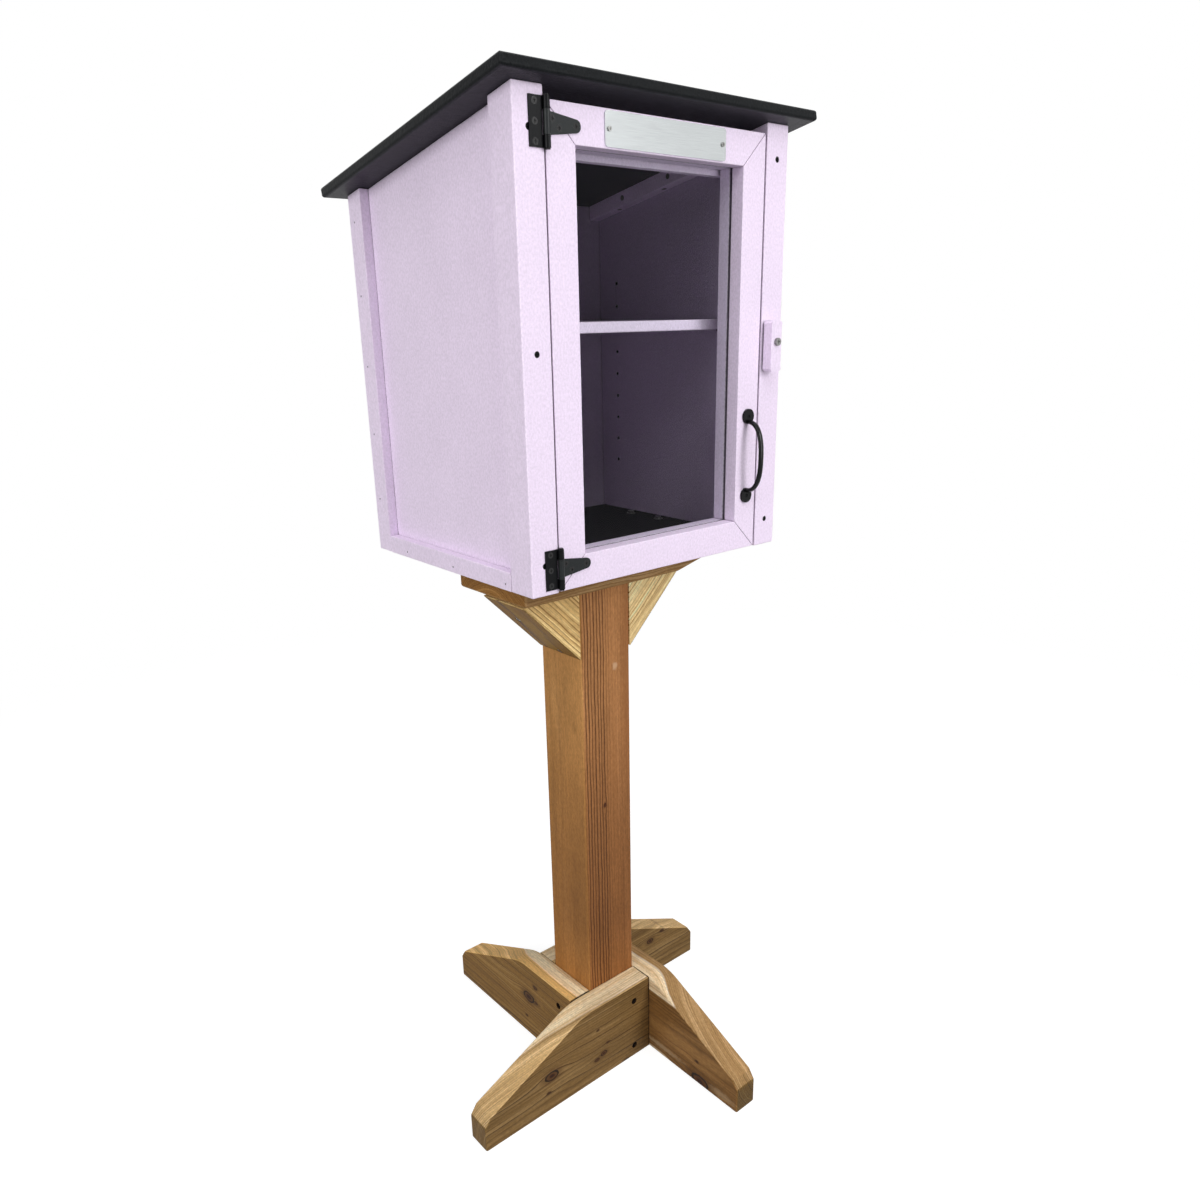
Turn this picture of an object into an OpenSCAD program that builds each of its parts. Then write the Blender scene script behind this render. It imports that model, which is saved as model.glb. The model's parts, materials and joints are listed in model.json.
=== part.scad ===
// A free library book stand: a cabinet for books with a glazed door, held by a
// wooden post that stands on four legs set round it like a pinwheel.
// Millimetres. The origin is on the ground, on the axis of the post. The door faces -Y.

/* [Post and legs] */
// Width of the square post
post_w = 88.9; // [76:0.1:100]
// Height of the post
post_h = 765; // [600:1:1000]
// Radius of the eased long edges of the post
post_ease = 4; // [2:0.5:6]
// Thickness of a leg
leg_t = 38.1; // [32:0.1:45]
// Length of a leg
leg_l = 314; // [290:1:400]
// Height of a leg beside the post
leg_h = 132; // [118:1:160]
// Height of a leg at its tip
leg_tip_h = 50; // [35:1:65]
// Length of the level top of a leg, from its inner end
leg_flat = 134; // [110:1:160]
// Radius of the bend in the top edge of a leg
leg_bend_r = 90; // [40:1:110]
// Size of the clipped corner at the tip of a leg
leg_clip = 10; // [4:1:15]
// Distance of the leg screws from the inner end of a leg
leg_screw_in = 32; // [24:1:40]
// Height of the lower leg screws
leg_screw_low = 20; // [16:1:40]
// Height of the upper leg screws
leg_screw_high = 104; // [76:1:108]
// Length of a leg screw
leg_screw_l = 68; // [55:1:75]

/* [Plate and braces] */
// Thickness of the plate on the post
plate_t = 50.8; // [38:0.1:60]
// Width of the plate, front to back
plate_w = 152.4; // [140:0.1:180]
// Distance of the front edge of the plate from the post's axis
plate_front = 50; // [46:1:60]
// Distance of the plate's right end inside the cabinet's side
plate_in = 10; // [2:1:30]
// Rise of the plate's underside from the right brace to its right end, where the board thins
plate_rise = 14; // [0:1:30]
// Length of a brace along the post and along the plate
brace_l = 92; // [80:1:120]
// Width of the blunt tips of a brace
brace_tip = 2; // [1:0.5:4]
// Distance of a brace's upper screw from the post
brace_screw_upper = 57.5; // [50:0.5:64]
// Distance of a brace's lower screw from the post
brace_screw_lower = 6; // [5:0.5:16]
// Distance of the plate's screws from the post's axis
plate_screw_off = 24; // [18:1:30]

/* [Cabinet] */
// Width of the cabinet
box_w = 412; // [396:1:450]
// Depth of the cabinet
box_d = 352; // [320:1:400]
// Distance of the cabinet's centre behind the post's axis
box_back = 14; // [4:1:24]
// Height of the cabinet's front, up to the roof
box_h = 514; // [480:1:560]
// Fall of the roof, in degrees
roof_pitch = 11.1; // [8:0.1:12]
// Thickness of the side and back panels
panel_t = 12.7; // [11:0.1:16]
// Thickness of the trim that stands proud of the panels
trim_t = 12.7; // [8:0.1:16]
// Thickness of the floor
floor_t = 12.7; // [11:0.1:16]
// Width of a front corner post, seen from the front
corner_w = 38.1; // [34:0.1:44]
// Depth of a front corner post
corner_d = 41; // [40:0.1:48]
// Width of a back stile
stile_w = 31; // [28:1:38]
// Height of the bottom rails
rail_h = 22.5; // [20:0.5:30]
// Thickness of the stops behind the door
stop_t = 12.7; // [11:0.1:16]
// Height of the sill behind the door
sill_h = 19; // [15:1:24]
// How far the header shows below the door's top rail
header_show = 6.6; // [4:0.1:10]

/* [Roof] */
// Thickness of the roof board
roof_t = 12.7; // [11:0.1:16]
// Radius of the roof's edges
roof_r = 3.5; // [2:0.1:5]
// Overhang of the roof at each side
roof_side = 26; // [20:1:40]
// Overhang of the roof at the front
roof_front = 22; // [16:1:40]
// Overhang of the roof at the back
roof_rear = 15; // [10:1:30]
// Width of a cleat under the roof
cleat_w = 19; // [17:0.1:24]
// Height of a cleat under the roof
cleat_h = 19; // [17:0.1:24]

/* [Shelf] */
// Thickness of the shelf
shelf_t = 12.7; // [11:0.1:18]
// Height of the shelf pins above the bottom of the cabinet
shelf_z = 280.2; // [270:0.1:290]
// Distance of the front pins from the cabinet's front
pin_front = 78; // [72:1:90]
// Distance of the back pins from the cabinet's back
pin_back = 62; // [56:1:80]
// Spacing of the shelf pin holes
pin_pitch = 32; // [25:0.5:36]
// Rows of pin holes below the shelf
rows_below = 6; // [3:1:6]
// Rows of pin holes above the shelf
rows_above = 2; // [1:1:3]
// Diameter of a shelf pin
pin_d = 5; // [4:0.1:6]
// Depth of a shelf pin hole
pin_hole_l = 8; // [6:0.5:9]
// Length of a shelf pin that shows
pin_show = 10; // [8:0.5:14]

/* [Door] */
// Thickness of the door
door_t = 38.1; // [34:0.1:39]
// Width of the door's frame
frame_w = 38.1; // [34:0.1:44]
// Gap between the door and the corner post on the hinge side
hinge_gap = 1.6; // [1.2:0.1:3]
// Gap between the door and the corner post on the latch side
latch_gap = 3; // [2.8:0.1:5]
// Gap between the door's top and the roof, at the front
door_top_gap = 12.4; // [8:0.1:18]
// Height of the door's lower edge above the cabinet's bottom
door_lift = 1.2; // [1:0.1:3]
// Thickness of the clear pane
pane_t = 3; // [2:0.1:5]
// Distance of the pane from the front of the door
pane_set = 18.7; // [14:0.1:24]
// Depth of the groove that holds the pane
groove_l = 8; // [6:0.5:11]

/* [Handle and sign] */
// Distance between the handle's two screws
handle_cc = 101.6; // [80:0.1:140]
// Height of the handle's middle above the cabinet's bottom
handle_z = 123; // [105:1:180]
// Diameter of a handle rosette
rosette_d = 19; // [16:0.5:24]
// Thickness of a handle rosette
rosette_t = 3.2; // [2.5:0.1:5]
// Reach of the handle from the door
handle_rise = 28; // [22:0.5:40]
// Width of the handle's bar
bar_w = 8; // [6:0.1:11]
// Thickness of the handle's bar
bar_t = 5.5; // [4:0.1:7]
// Width of the sign plate
sign_w = 183; // [150:1:220]
// Height of the sign plate
sign_h = 34.4; // [25:0.1:36]
// Thickness of the sign plate
sign_t = 1.5; // [1:0.1:3]
// Corner radius of the sign plate
sign_r = 4; // [1:0.5:8]

/* [Hinges and turn button] */
// Height of a hinge leaf
leaf_h = 46; // [42:1:50]
// Reach of a hinge leaf from the hinge pin
leaf_w = 20; // [18:1:23]
// Thickness of the hinge plates
hinge_t = 1.6; // [1.2:0.1:2]
// Outer diameter of a hinge barrel
barrel_d = 7; // [6.2:0.1:7.4]
// Diameter of a hinge pin
hinge_pin_d = 3.6; // [3:0.1:4]
// Height of a hinge strap at its barrel
strap_h = 23.4; // [20:0.1:28]
// Reach of a hinge strap from the hinge pin
strap_l = 45; // [42:1:60]
// Radius of the rounded end of a hinge strap
strap_r = 6.2; // [5:0.1:8]
// Distance of the top hinge's middle from the door's top
hinge_from_top = 21.4; // [19:0.1:40]
// Distance of the bottom hinge's middle from the door's bottom
hinge_from_bottom = 27.4; // [20:0.1:40]
// Reach of the long end of the turn button
button_long = 36; // [30:0.5:42]
// Reach of the short end of the turn button
button_short = 25; // [14:0.5:26]
// Width of the turn button
button_w = 20; // [16:0.5:24]
// Thickness of the turn button
button_t = 13.5; // [10:0.5:16]
// Corner radius of the turn button
button_r = 4; // [2:0.5:6]
// Distance of the turn button's screw from the cabinet's side
button_in = 26; // [24:0.5:28]
// Height of the turn button's screw above the cabinet's bottom
button_z = 264.6; // [250:0.1:280]

/* [Hidden] */
$fn = 48;

bend_steps = 8;

// Clearances
hole_gap = 0.06;
turn_gap = 0.08;
face_gap = 0.4;
pane_gap = 0.15;
pane_edge_gap = 2;
shelf_gap = 1;
shelf_set = 4;
door_axis_gap = 0.4;
cut_over = 1;
far = 900;

// Screws: shank diameter, head diameter and head height of each kind
leg_screw_d = 6;
leg_screw_head_d = 10;
leg_screw_head_h = 4;
leg_screw_sink = 3;
long_screw_d = 4.5;
long_screw_head_d = 9;
long_screw_head_h = 4;
plate_screw_l = 96;
plate_brace_screw_l = 78;
plate_brace_screw_in = 34;
plate_brace_screw_off = 32;
brace_screw_l = 72;
brace_lower_screw_l = 48;
brace_upper_y = 17;
brace_lower_y = -5;
brace_screw_sink = 0.5;
cabinet_screw_l = 44;
cabinet_screw_inset_left = 31;
cabinet_screw_inset_right = 36;
cabinet_screw_rows = [68, 128];
cabinet_screw_head_d = 9;
cabinet_screw_head_h = 3;
washer_d = 13;
washer_t = 1.2;
board_screw_d = 3.5;
board_screw_head_d = 7;
board_screw_head_h = 3;
corner_screw_l = 58;
corner_screw_sink = 0.6;
panel_screw_l = 38;
stop_screw_l = 32;
stop_screw_edge = 10;
stop_screw_pitch = 16;
stop_screw_inset = 6;
cleat_screw_bite = 8.5;
door_screw_l = 48;
door_screw_in = 12;
door_screw_back = 10;
strap_screw_l = 16;
strap_screw_head_h = 1.5;
handle_screw_l = 22;
sign_screw_d = 2.4;
sign_screw_head_d = 5;
sign_screw_head_h = 1.4;
sign_screw_l = 14;
sign_screw_in = 5.5;
button_screw_d = 5;
button_screw_head_d = 9.5;
button_screw_head_h = 3;
button_screw_bite = 28;
button_washer_d = 14;
button_washer_t = 1.6;
nail_d = 1.4;
nail_head_d = 2.6;
nail_head_h = 0.8;
nail_l = 20;
nail_sink = 0.5;
recess_share = 0.52;
recess_width = 0.13;
recess_depth = 0.6;
tip_share = 1.2;
tip_width = 0.25;

// Heights of the corner post screws above the cabinet's bottom
corner_screw_low = 34.7;
corner_screw_mid = 262;
corner_screw_top = 39;
// Pattern of the nails in the trim
stile_nail_first = 70;
stile_nail_last = 33.2;
stile_nails = 5;
stile_nail_in = 11.3;
rail_nail_first = 11.5;
rail_nail_last = 43;
rail_nails = 3;
rail_nail_z = 7.4;
back_nail_in = 68;
// Places of the screws through the side panels and the cleats
back_screw_first = 60;
back_screw_last = 88;
back_screws = 3;
floor_screw_first = 60;
floor_screw_last = 36;
floor_screws = 3;
cleat_screw_first = 40;
cleat_screw_last = 52;
cleat_screws = 3;
cleat_screw_shift = 20;
// Knuckles of a hinge
knuckle_gap = 0.4;
pin_head_d = 5.6;
pin_head_h = 1.4;
leaf_screw_x = 13;
leaf_screw_pitch = 17.9;
strap_screw_x = [8.5, 17, 38.6];
strap_screw_z = [4.4, -3.8, 0];
sign_shift = 2;
// Shape of the handle's bow: a higher power makes it squarer
bow_rings = 28;
bow_sides = 14;
bow_power = 2.5;
bow_step = 2;

// Derived places
half = post_w / 2;
z0 = post_h + plate_t;
plate_left = half + brace_l;
plate_right = box_w / 2 - plate_in;
plate_y0 = -plate_front;
x_out = box_w / 2;
x_panel = x_out - trim_t;
x_in = x_panel - panel_t;
y_front = box_back - box_d / 2;
y_back = y_front + box_d;
y_corner = y_front + corner_d;
y_stop = y_corner + stop_t;
y_back_out = y_back - trim_t;
y_back_in = y_back_out - panel_t;
z_floor = z0 + floor_t;
panel_x = (x_panel + x_in) / 2;
opening_x = x_out - corner_w;
door_x = opening_x - (hinge_gap + latch_gap) / 2;
door_mid = (hinge_gap - latch_gap) / 2;
door_z0 = z0 + door_lift;
door_z1 = z0 + box_h - door_top_gap;
window_x = door_x - frame_w;
window_z0 = door_z0 + frame_w;
window_z1 = door_z1 - frame_w;
door_back = y_front + door_t;
pane_y = y_front + pane_set;
groove_t = pane_t + 2 * pane_gap;
pane_x = window_x + groove_l - pane_edge_gap;
pane_z0 = window_z0 - groove_l;
pane_z1 = window_z1 + groove_l - pane_edge_gap;
header_z = window_z1 - header_show;
stop_screw_x = opening_x + stop_screw_inset;
axis_x = -opening_x + hinge_gap / 2;
axis_y = y_front - barrel_d / 2 - door_axis_gap;
hinge_top_z = door_z1 - hinge_from_top;
hinge_bottom_z = door_z0 + hinge_from_bottom;
pin_y1 = y_front + pin_front;
pin_y2 = y_back - pin_back;
pin_z = z0 + shelf_z;
shelf_y0 = y_stop + shelf_set;
shelf_x = x_in - shelf_gap;
handle_x = door_mid + door_x - frame_w / 2;
handle_mid = z0 + handle_z;
sign_z = door_z1 - frame_w / 2;
pivot_x = x_out - button_in;
pivot_z = z0 + button_z;
button_y = y_front - button_washer_t - face_gap;
bow_half = handle_cc / 2 - rosette_d / 2 + bar_t / 2;
bow_depth = handle_rise - bar_t / 2 - rosette_t / 2;

// Colours
cedar = [0.72, 0.55, 0.36];
fir = [0.62, 0.38, 0.24];
lilac = [0.9, 0.85, 0.92];
charcoal = [0.16, 0.16, 0.17];
black_steel = [0.12, 0.12, 0.13];
zinc = [0.7, 0.7, 0.72];
clear = [0.85, 0.92, 0.95, 0.35];
brushed = [0.82, 0.84, 0.84];

// Even places from low to high
function spread(low, high, count) = [for (i = [0:count - 1]) low + (high - low) * i / (count - 1)];

// Height of the roof's underside at a distance y behind the post's axis
function roof_z(y) = z0 + box_h - (y - y_front) * tan(roof_pitch);

// The cross-shaped recess in a screw's head, sunk along +Z from the origin
module cross_recess(head_d, head_h) {
    long = head_d * recess_share;
    thin = head_d * recess_width;
    deep = head_h * recess_depth;
    translate([-long / 2, -thin / 2, -cut_over]) cube([long, thin, deep + cut_over]);
    translate([-thin / 2, -long / 2, -cut_over]) cube([thin, long, deep + cut_over]);
}

// A countersunk screw along +Z, with its head's top at the origin
module flat_screw(d, l, head_d, head_h) {
    difference() {
        union() {
            cylinder(h = head_h, d1 = head_d, d2 = d);
            translate([0, 0, head_h]) cylinder(h = l - head_h - d * tip_share, d = d);
            translate([0, 0, l - d * tip_share]) cylinder(h = d * tip_share, d1 = d, d2 = d * tip_width);
        }
        cross_recess(head_d, head_h);
    }
}

// The hole for a countersunk screw, open for a little above its head
module flat_screw_hole(d, l, head_d, head_h, over = cut_over) {
    cylinder(h = head_h, d1 = head_d + 2 * hole_gap, d2 = d + 2 * hole_gap);
    translate([0, 0, -over]) cylinder(h = over, d = head_d + 2 * hole_gap);
    cylinder(h = l + cut_over, d = d + 2 * hole_gap);
}

// A screw along +Z whose flat-bottomed head stands above the origin
module pan_screw(d, l, head_d, head_h) {
    difference() {
        union() {
            translate([0, 0, -head_h]) cylinder(h = head_h, d = head_d);
            cylinder(h = l - d * tip_share, d = d);
            translate([0, 0, l - d * tip_share]) cylinder(h = d * tip_share, d1 = d, d2 = d * tip_width);
        }
        translate([0, 0, -head_h]) cross_recess(head_d, head_h);
    }
}

module pan_screw_hole(d, l) {
    cylinder(h = l + cut_over, d = d + 2 * hole_gap);
}

// Everything above the underside of the roof
module above_roof() {
    translate([0, y_front, z0 + box_h]) rotate([-roof_pitch, 0, 0])
        translate([-far / 2, -far / 2, 0]) cube(far);
}

module mirror_x(side) {
    mirror([side < 0 ? 1 : 0, 0, 0]) children();
}

// Legs

function leg_angle() = atan((leg_h - leg_tip_h) / (leg_l - leg_flat));
function bend_point(turn) =
    [leg_flat - leg_bend_r * tan(leg_angle() / 2) + leg_bend_r * sin(turn),
     leg_h - leg_bend_r + leg_bend_r * cos(turn)];

module leg_outline() {
    bend = [for (i = [0:bend_steps]) bend_point(leg_angle() * i / bend_steps)];
    polygon(concat(
        [[0, 0], [0, leg_h]], bend,
        [[leg_l - leg_clip, leg_tip_h + leg_clip * tan(leg_angle())],
         [leg_l, leg_tip_h - leg_clip], [leg_l, 0]]));
}

// The screws of one leg, in the place of the front leg
module at_leg_screws() {
    for (z = [leg_screw_low, leg_screw_high])
        translate([half - leg_screw_in, -half - leg_t + leg_screw_sink, z]) rotate([-90, 0, 0]) children();
}

module leg_screw_hole(over) {
    flat_screw_hole(leg_screw_d, leg_screw_l, leg_screw_head_d, leg_screw_head_h, over);
}

module leg(turn) {
    color(cedar) rotate([0, 0, turn]) difference() {
        translate([half, -half, 0]) rotate([90, 0, 0]) mirror([1, 0, 0])
            linear_extrude(height = leg_t) leg_outline();
        at_leg_screws() leg_screw_hole(leg_screw_sink + cut_over);
    }
}

module leg_screws() {
    color(black_steel) for (turn = [0:90:270])
        rotate([0, 0, turn]) at_leg_screws()
            flat_screw(leg_screw_d, leg_screw_l, leg_screw_head_d, leg_screw_head_h);
}

// Post, plate and braces

module post_outline() {
    side = post_w - 2 * post_ease;
    square([side, post_w], center = true);
    square([post_w, side], center = true);
    for (x = [-1, 1], y = [-1, 1])
        translate([x * side / 2, y * side / 2]) circle(r = post_ease);
}

module post() {
    color(fir) difference() {
        linear_extrude(height = post_h) post_outline();
        for (turn = [0:90:270]) rotate([0, 0, turn]) at_leg_screws() leg_screw_hole(0);
        at_plate_post_screws() long_screw_hole(plate_screw_l);
        for (side = [-1, 1]) mirror_x(side) brace_screw_holes();
    }
}

// The plate's screws into the top of the post
module at_plate_post_screws() {
    for (x = [-1, 1], y = [-1, 1])
        translate([x * plate_screw_off, y * plate_screw_off, z0]) mirror([0, 0, 1]) children();
}

// The plate's screws into the two braces
module at_plate_brace_screws() {
    for (x = [-1, 1], y = [-1, 1])
        translate([x * (half + plate_brace_screw_in), y * plate_brace_screw_off, z0])
            mirror([0, 0, 1]) children();
}

module long_screw(l) {
    flat_screw(long_screw_d, l, long_screw_head_d, long_screw_head_h);
}

module long_screw_hole(l) {
    flat_screw_hole(long_screw_d, l, long_screw_head_d, long_screw_head_h, long_screw_head_h);
}

module plate_screws() {
    color(zinc) {
        at_plate_post_screws() long_screw(plate_screw_l);
        at_plate_brace_screws() long_screw(plate_brace_screw_l);
    }
}

// The right brace's screws, square to its sloping face: one into the plate, one into the post
module at_brace_screw(out, y) {
    translate([half + out, y, post_h - brace_l - brace_tip + out]) rotate([0, -45, 0])
        translate([0, 0, brace_screw_sink]) children();
}

module at_upper_brace_screw() {
    at_brace_screw(brace_screw_upper, brace_upper_y) children();
}

module at_lower_brace_screw() {
    at_brace_screw(brace_screw_lower, brace_lower_y) children();
}

module brace_screw_holes() {
    at_upper_brace_screw() long_screw_hole(brace_screw_l);
    at_lower_brace_screw() long_screw_hole(brace_lower_screw_l);
}

module brace_screws() {
    color(zinc) for (side = [-1, 1]) mirror_x(side) {
        at_upper_brace_screw() long_screw(brace_screw_l);
        at_lower_brace_screw() long_screw(brace_lower_screw_l);
    }
}

module brace(side) {
    color(cedar) mirror_x(side) difference() {
        translate([half, half, post_h]) rotate([90, 0, 0]) linear_extrude(height = post_w)
            polygon([[0, 0], [brace_l, 0], [brace_l, -brace_tip], [brace_tip, -brace_l], [0, -brace_l]]);
        brace_screw_holes();
        at_plate_brace_screws() long_screw_hole(plate_brace_screw_l);
    }
}

module mounting_plate() {
    color(cedar) difference() {
        translate([0, plate_y0 + plate_w, post_h]) rotate([90, 0, 0]) linear_extrude(height = plate_w)
            polygon([[-plate_left, 0], [plate_left, 0], [plate_right, plate_rise],
                     [plate_right, plate_t], [-plate_left, plate_t]]);
        at_plate_post_screws() long_screw_hole(plate_screw_l);
        at_plate_brace_screws() long_screw_hole(plate_brace_screw_l);
        for (side = [-1, 1]) mirror_x(side) brace_screw_holes();
        at_cabinet_screws() pan_screw_hole(board_screw_d, cabinet_screw_l);
    }
}

// The screws that hold the cabinet's floor down on the plate
module at_cabinet_screws() {
    for (x = [-plate_left + cabinet_screw_inset_left, plate_right - cabinet_screw_inset_right],
         row = cabinet_screw_rows)
        translate([x, plate_y0 + row, z_floor + washer_t]) mirror([0, 0, 1]) children();
}

module cabinet_screws() {
    color(zinc) at_cabinet_screws()
        pan_screw(board_screw_d, cabinet_screw_l, cabinet_screw_head_d, cabinet_screw_head_h);
}

module cabinet_washers() {
    color(zinc) at_cabinet_screws() difference() {
        cylinder(h = washer_t, d = washer_d);
        translate([0, 0, -cut_over]) cylinder(h = washer_t + 2 * cut_over, d = board_screw_d + 2 * hole_gap);
    }
}

// Cabinet

module floor_panel() {
    color(charcoal) difference() {
        translate([-x_in, y_corner, z0]) cube([2 * x_in, y_back_in - y_corner, floor_t]);
        at_cabinet_screws() pan_screw_hole(board_screw_d, cabinet_screw_l);
        for (side = [-1, 1]) mirror_x(side) at_floor_screws() board_screw_hole(panel_screw_l);
    }
}

module board_screw_hole(l, over = cut_over) {
    flat_screw_hole(board_screw_d, l, board_screw_head_d, board_screw_head_h, over);
}

module board_screw(l) {
    flat_screw(board_screw_d, l, board_screw_head_d, board_screw_head_h);
}

// Screws through the right side panel into the floor, hidden by the bottom rail
module at_floor_screws() {
    for (y = spread(y_corner + floor_screw_first, y_back_in - floor_screw_last, floor_screws))
        translate([x_panel, y, z0 + floor_t / 2]) rotate([0, -90, 0]) children();
}

// Screws through the right side panel into the back panel, hidden by the back stile
module at_back_screws() {
    y = y_back_in + panel_t / 2;
    for (z = spread(z0 + back_screw_first, roof_z(y) - back_screw_last, back_screws))
        translate([x_panel, y, z]) rotate([0, -90, 0]) children();
}

module panel_screws() {
    color(zinc) for (side = [-1, 1]) mirror_x(side) {
        at_floor_screws() board_screw(panel_screw_l);
        at_back_screws() board_screw(panel_screw_l);
    }
}

// Shelf pins in the right side panel, in the given row above or below the shelf
module at_pins(row) {
    for (y = [pin_y1, pin_y2])
        translate([x_in, y, pin_z + row * pin_pitch]) rotate([0, 90, 0]) children();
}

// The screws that go through a corner post into the edge of the side panel
module at_corner_screws(heights) {
    for (z = heights)
        translate([panel_x, y_front + corner_screw_sink, z]) rotate([-90, 0, 0]) children();
}

function corner_heights(side) = side < 0
    ? [z0 + corner_screw_low, z0 + corner_screw_mid, z0 + box_h - corner_screw_top]
    : [z0 + corner_screw_low, z0 + box_h - corner_screw_top];

module corner_post_screws() {
    color(black_steel) for (side = [-1, 1]) mirror_x(side)
        at_corner_screws(corner_heights(side)) board_screw(corner_screw_l);
}

module side_panel(side) {
    color(lilac) mirror_x(side) difference() {
        translate([x_in, y_corner, z0]) cube([panel_t, y_back - y_corner, box_h]);
        above_roof();
        for (row = [-rows_below:rows_above]) at_pins(row)
            translate([0, 0, -cut_over]) cylinder(h = pin_hole_l + cut_over, d = pin_d + 2 * hole_gap);
        at_corner_screws(corner_heights(side)) board_screw_hole(corner_screw_l);
        at_floor_screws() board_screw_hole(panel_screw_l);
        at_back_screws() board_screw_hole(panel_screw_l);
        at_cleat_side_screws() board_screw_hole(cleat_w + cleat_screw_bite);
        at_trim_nails() nail_hole();
    }
}

module back_panel() {
    color(lilac) difference() {
        translate([-x_in, y_back_in, z0]) cube([2 * x_in, panel_t, box_h]);
        above_roof();
        for (side = [-1, 1]) mirror_x(side) at_back_screws() board_screw_hole(panel_screw_l);
        at_back_rail_nails() nail_hole();
    }
}

module corner_post(side) {
    color(lilac) mirror_x(side) difference() {
        translate([x_out - corner_w, y_front, z0]) cube([corner_w, corner_d, box_h]);
        above_roof();
        at_corner_screws(corner_heights(side)) board_screw_hole(corner_screw_l);
        at_stop_screws() board_screw_hole(stop_screw_l);
        if (side < 0) {
            mirror([1, 0, 0]) for (z = [hinge_top_z, hinge_bottom_z])
                at_leaf_screws(z) strap_screw_hole();
        } else {
            at_pivot() pan_screw_hole(button_screw_d, pivot_reach());
        }
    }
}

// Trim and its nails

module nail() {
    cylinder(h = nail_head_h, d = nail_head_d);
    cylinder(h = nail_l, d = nail_d);
}

module nail_hole() {
    translate([0, 0, -cut_over]) cylinder(h = nail_head_h + cut_over, d = nail_head_d + 2 * hole_gap);
    cylinder(h = nail_l + cut_over, d = nail_d + 2 * hole_gap);
}

module at_trim_nails() {
    stile_y = y_back - stile_nail_in;
    for (z = spread(z0 + stile_nail_first, roof_z(stile_y) - stile_nail_last, stile_nails))
        translate([x_out - nail_sink, stile_y, z]) rotate([0, -90, 0]) children();
    for (y = spread(y_corner + rail_nail_first, y_back - stile_w - rail_nail_last, rail_nails))
        translate([x_out - nail_sink, y, z0 + rail_nail_z]) rotate([0, -90, 0]) children();
}

module at_back_rail_nails() {
    for (x = spread(back_nail_in - x_in, x_in - back_nail_in, rail_nails))
        translate([x, y_back - nail_sink, z0 + rail_nail_z]) rotate([90, 0, 0]) children();
}

module trim_nails() {
    color(black_steel) {
        for (side = [-1, 1]) mirror_x(side) at_trim_nails() nail();
        at_back_rail_nails() nail();
    }
}

module back_stile(side) {
    color(lilac) mirror_x(side) difference() {
        translate([x_panel, y_back - stile_w, z0]) cube([trim_t, stile_w, box_h]);
        above_roof();
        at_trim_nails() nail_hole();
    }
}

module side_rail(side) {
    color(lilac) mirror_x(side) difference() {
        translate([x_panel, y_corner, z0]) cube([trim_t, y_back - stile_w - y_corner, rail_h]);
        at_trim_nails() nail_hole();
    }
}

module back_rail() {
    color(lilac) difference() {
        translate([-x_in, y_back_out, z0]) cube([2 * x_in, trim_t, rail_h]);
        at_back_rail_nails() nail_hole();
    }
}

// Stops behind the door: each is screwed to the backs of the corner posts

module at_stop_screws() {
    header_low = header_z + stop_screw_edge;
    for (z = [z_floor + sill_h / 2, header_low, header_low + stop_screw_pitch])
        translate([stop_screw_x, y_stop, z]) rotate([90, 0, 0]) children();
}

module stop_screws() {
    color(zinc) for (side = [-1, 1]) mirror_x(side) at_stop_screws() board_screw(stop_screw_l);
}

module front_header() {
    color(lilac) difference() {
        translate([-x_in, y_corner, header_z]) cube([2 * x_in, stop_t, box_h]);
        above_roof();
        for (side = [-1, 1]) mirror_x(side) at_stop_screws() board_screw_hole(stop_screw_l);
    }
}

module front_sill() {
    color(lilac) difference() {
        translate([-x_in, y_corner, z_floor]) cube([2 * x_in, stop_t, sill_h]);
        for (side = [-1, 1]) mirror_x(side) at_stop_screws() board_screw_hole(stop_screw_l);
    }
}

// Roof

// Places children in the plane of the roof's underside, with its front edge at y = 0
module in_roof_plane() {
    translate([0, y_front, z0 + box_h]) rotate([-roof_pitch, 0, 0]) children();
}

// A board of the roof's thickness seen from its end, with rounded edges
module roof_outline(wide) {
    flat = wide - 2 * roof_r;
    square([wide, roof_t - 2 * roof_r], center = true);
    square([flat, roof_t], center = true);
    for (x = [-flat / 2, flat / 2], y = [roof_r - roof_t / 2, roof_t / 2 - roof_r])
        translate([x, y]) circle(r = roof_r);
}

module roof() {
    run = (roof_front + box_d + roof_rear) / cos(roof_pitch);
    wide = box_w + 2 * roof_side;
    start = -roof_front / cos(roof_pitch);
    color(charcoal) difference() {
        in_roof_plane() translate([0, start, roof_t / 2]) intersection() {
            translate([0, run, 0]) rotate([90, 0, 0]) linear_extrude(height = run) roof_outline(wide);
            translate([-wide / 2, run / 2, 0]) rotate([90, 0, 90])
                linear_extrude(height = wide) roof_outline(run);
        }
        for (side = [-1, 1]) mirror_x(side)
            at_cleat_roof_screws() board_screw_hole(cleat_h + cleat_screw_bite, 0);
    }
}

// The screws up through the right cleat into the roof, square to the roof
module at_cleat_roof_screws() {
    in_roof_plane() for (y = spread(y_stop + cleat_screw_first, y_back_in - cleat_screw_last, cleat_screws))
        translate([x_in - cleat_w / 2, (y - y_front) / cos(roof_pitch), -cleat_h]) children();
}

// The screws sideways through the right cleat into the side panel
module at_cleat_side_screws() {
    first = y_stop + cleat_screw_first - cleat_screw_shift;
    for (y = spread(first, y_back_in - cleat_screw_last - cleat_screw_shift, cleat_screws))
        translate([x_in - cleat_w, y, roof_z(y) - cleat_h / 2]) rotate([0, 90, 0]) children();
}

module roof_screws() {
    color(zinc) for (side = [-1, 1]) mirror_x(side) {
        at_cleat_roof_screws() board_screw(cleat_h + cleat_screw_bite);
        at_cleat_side_screws() board_screw(cleat_w + cleat_screw_bite);
    }
}

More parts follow.
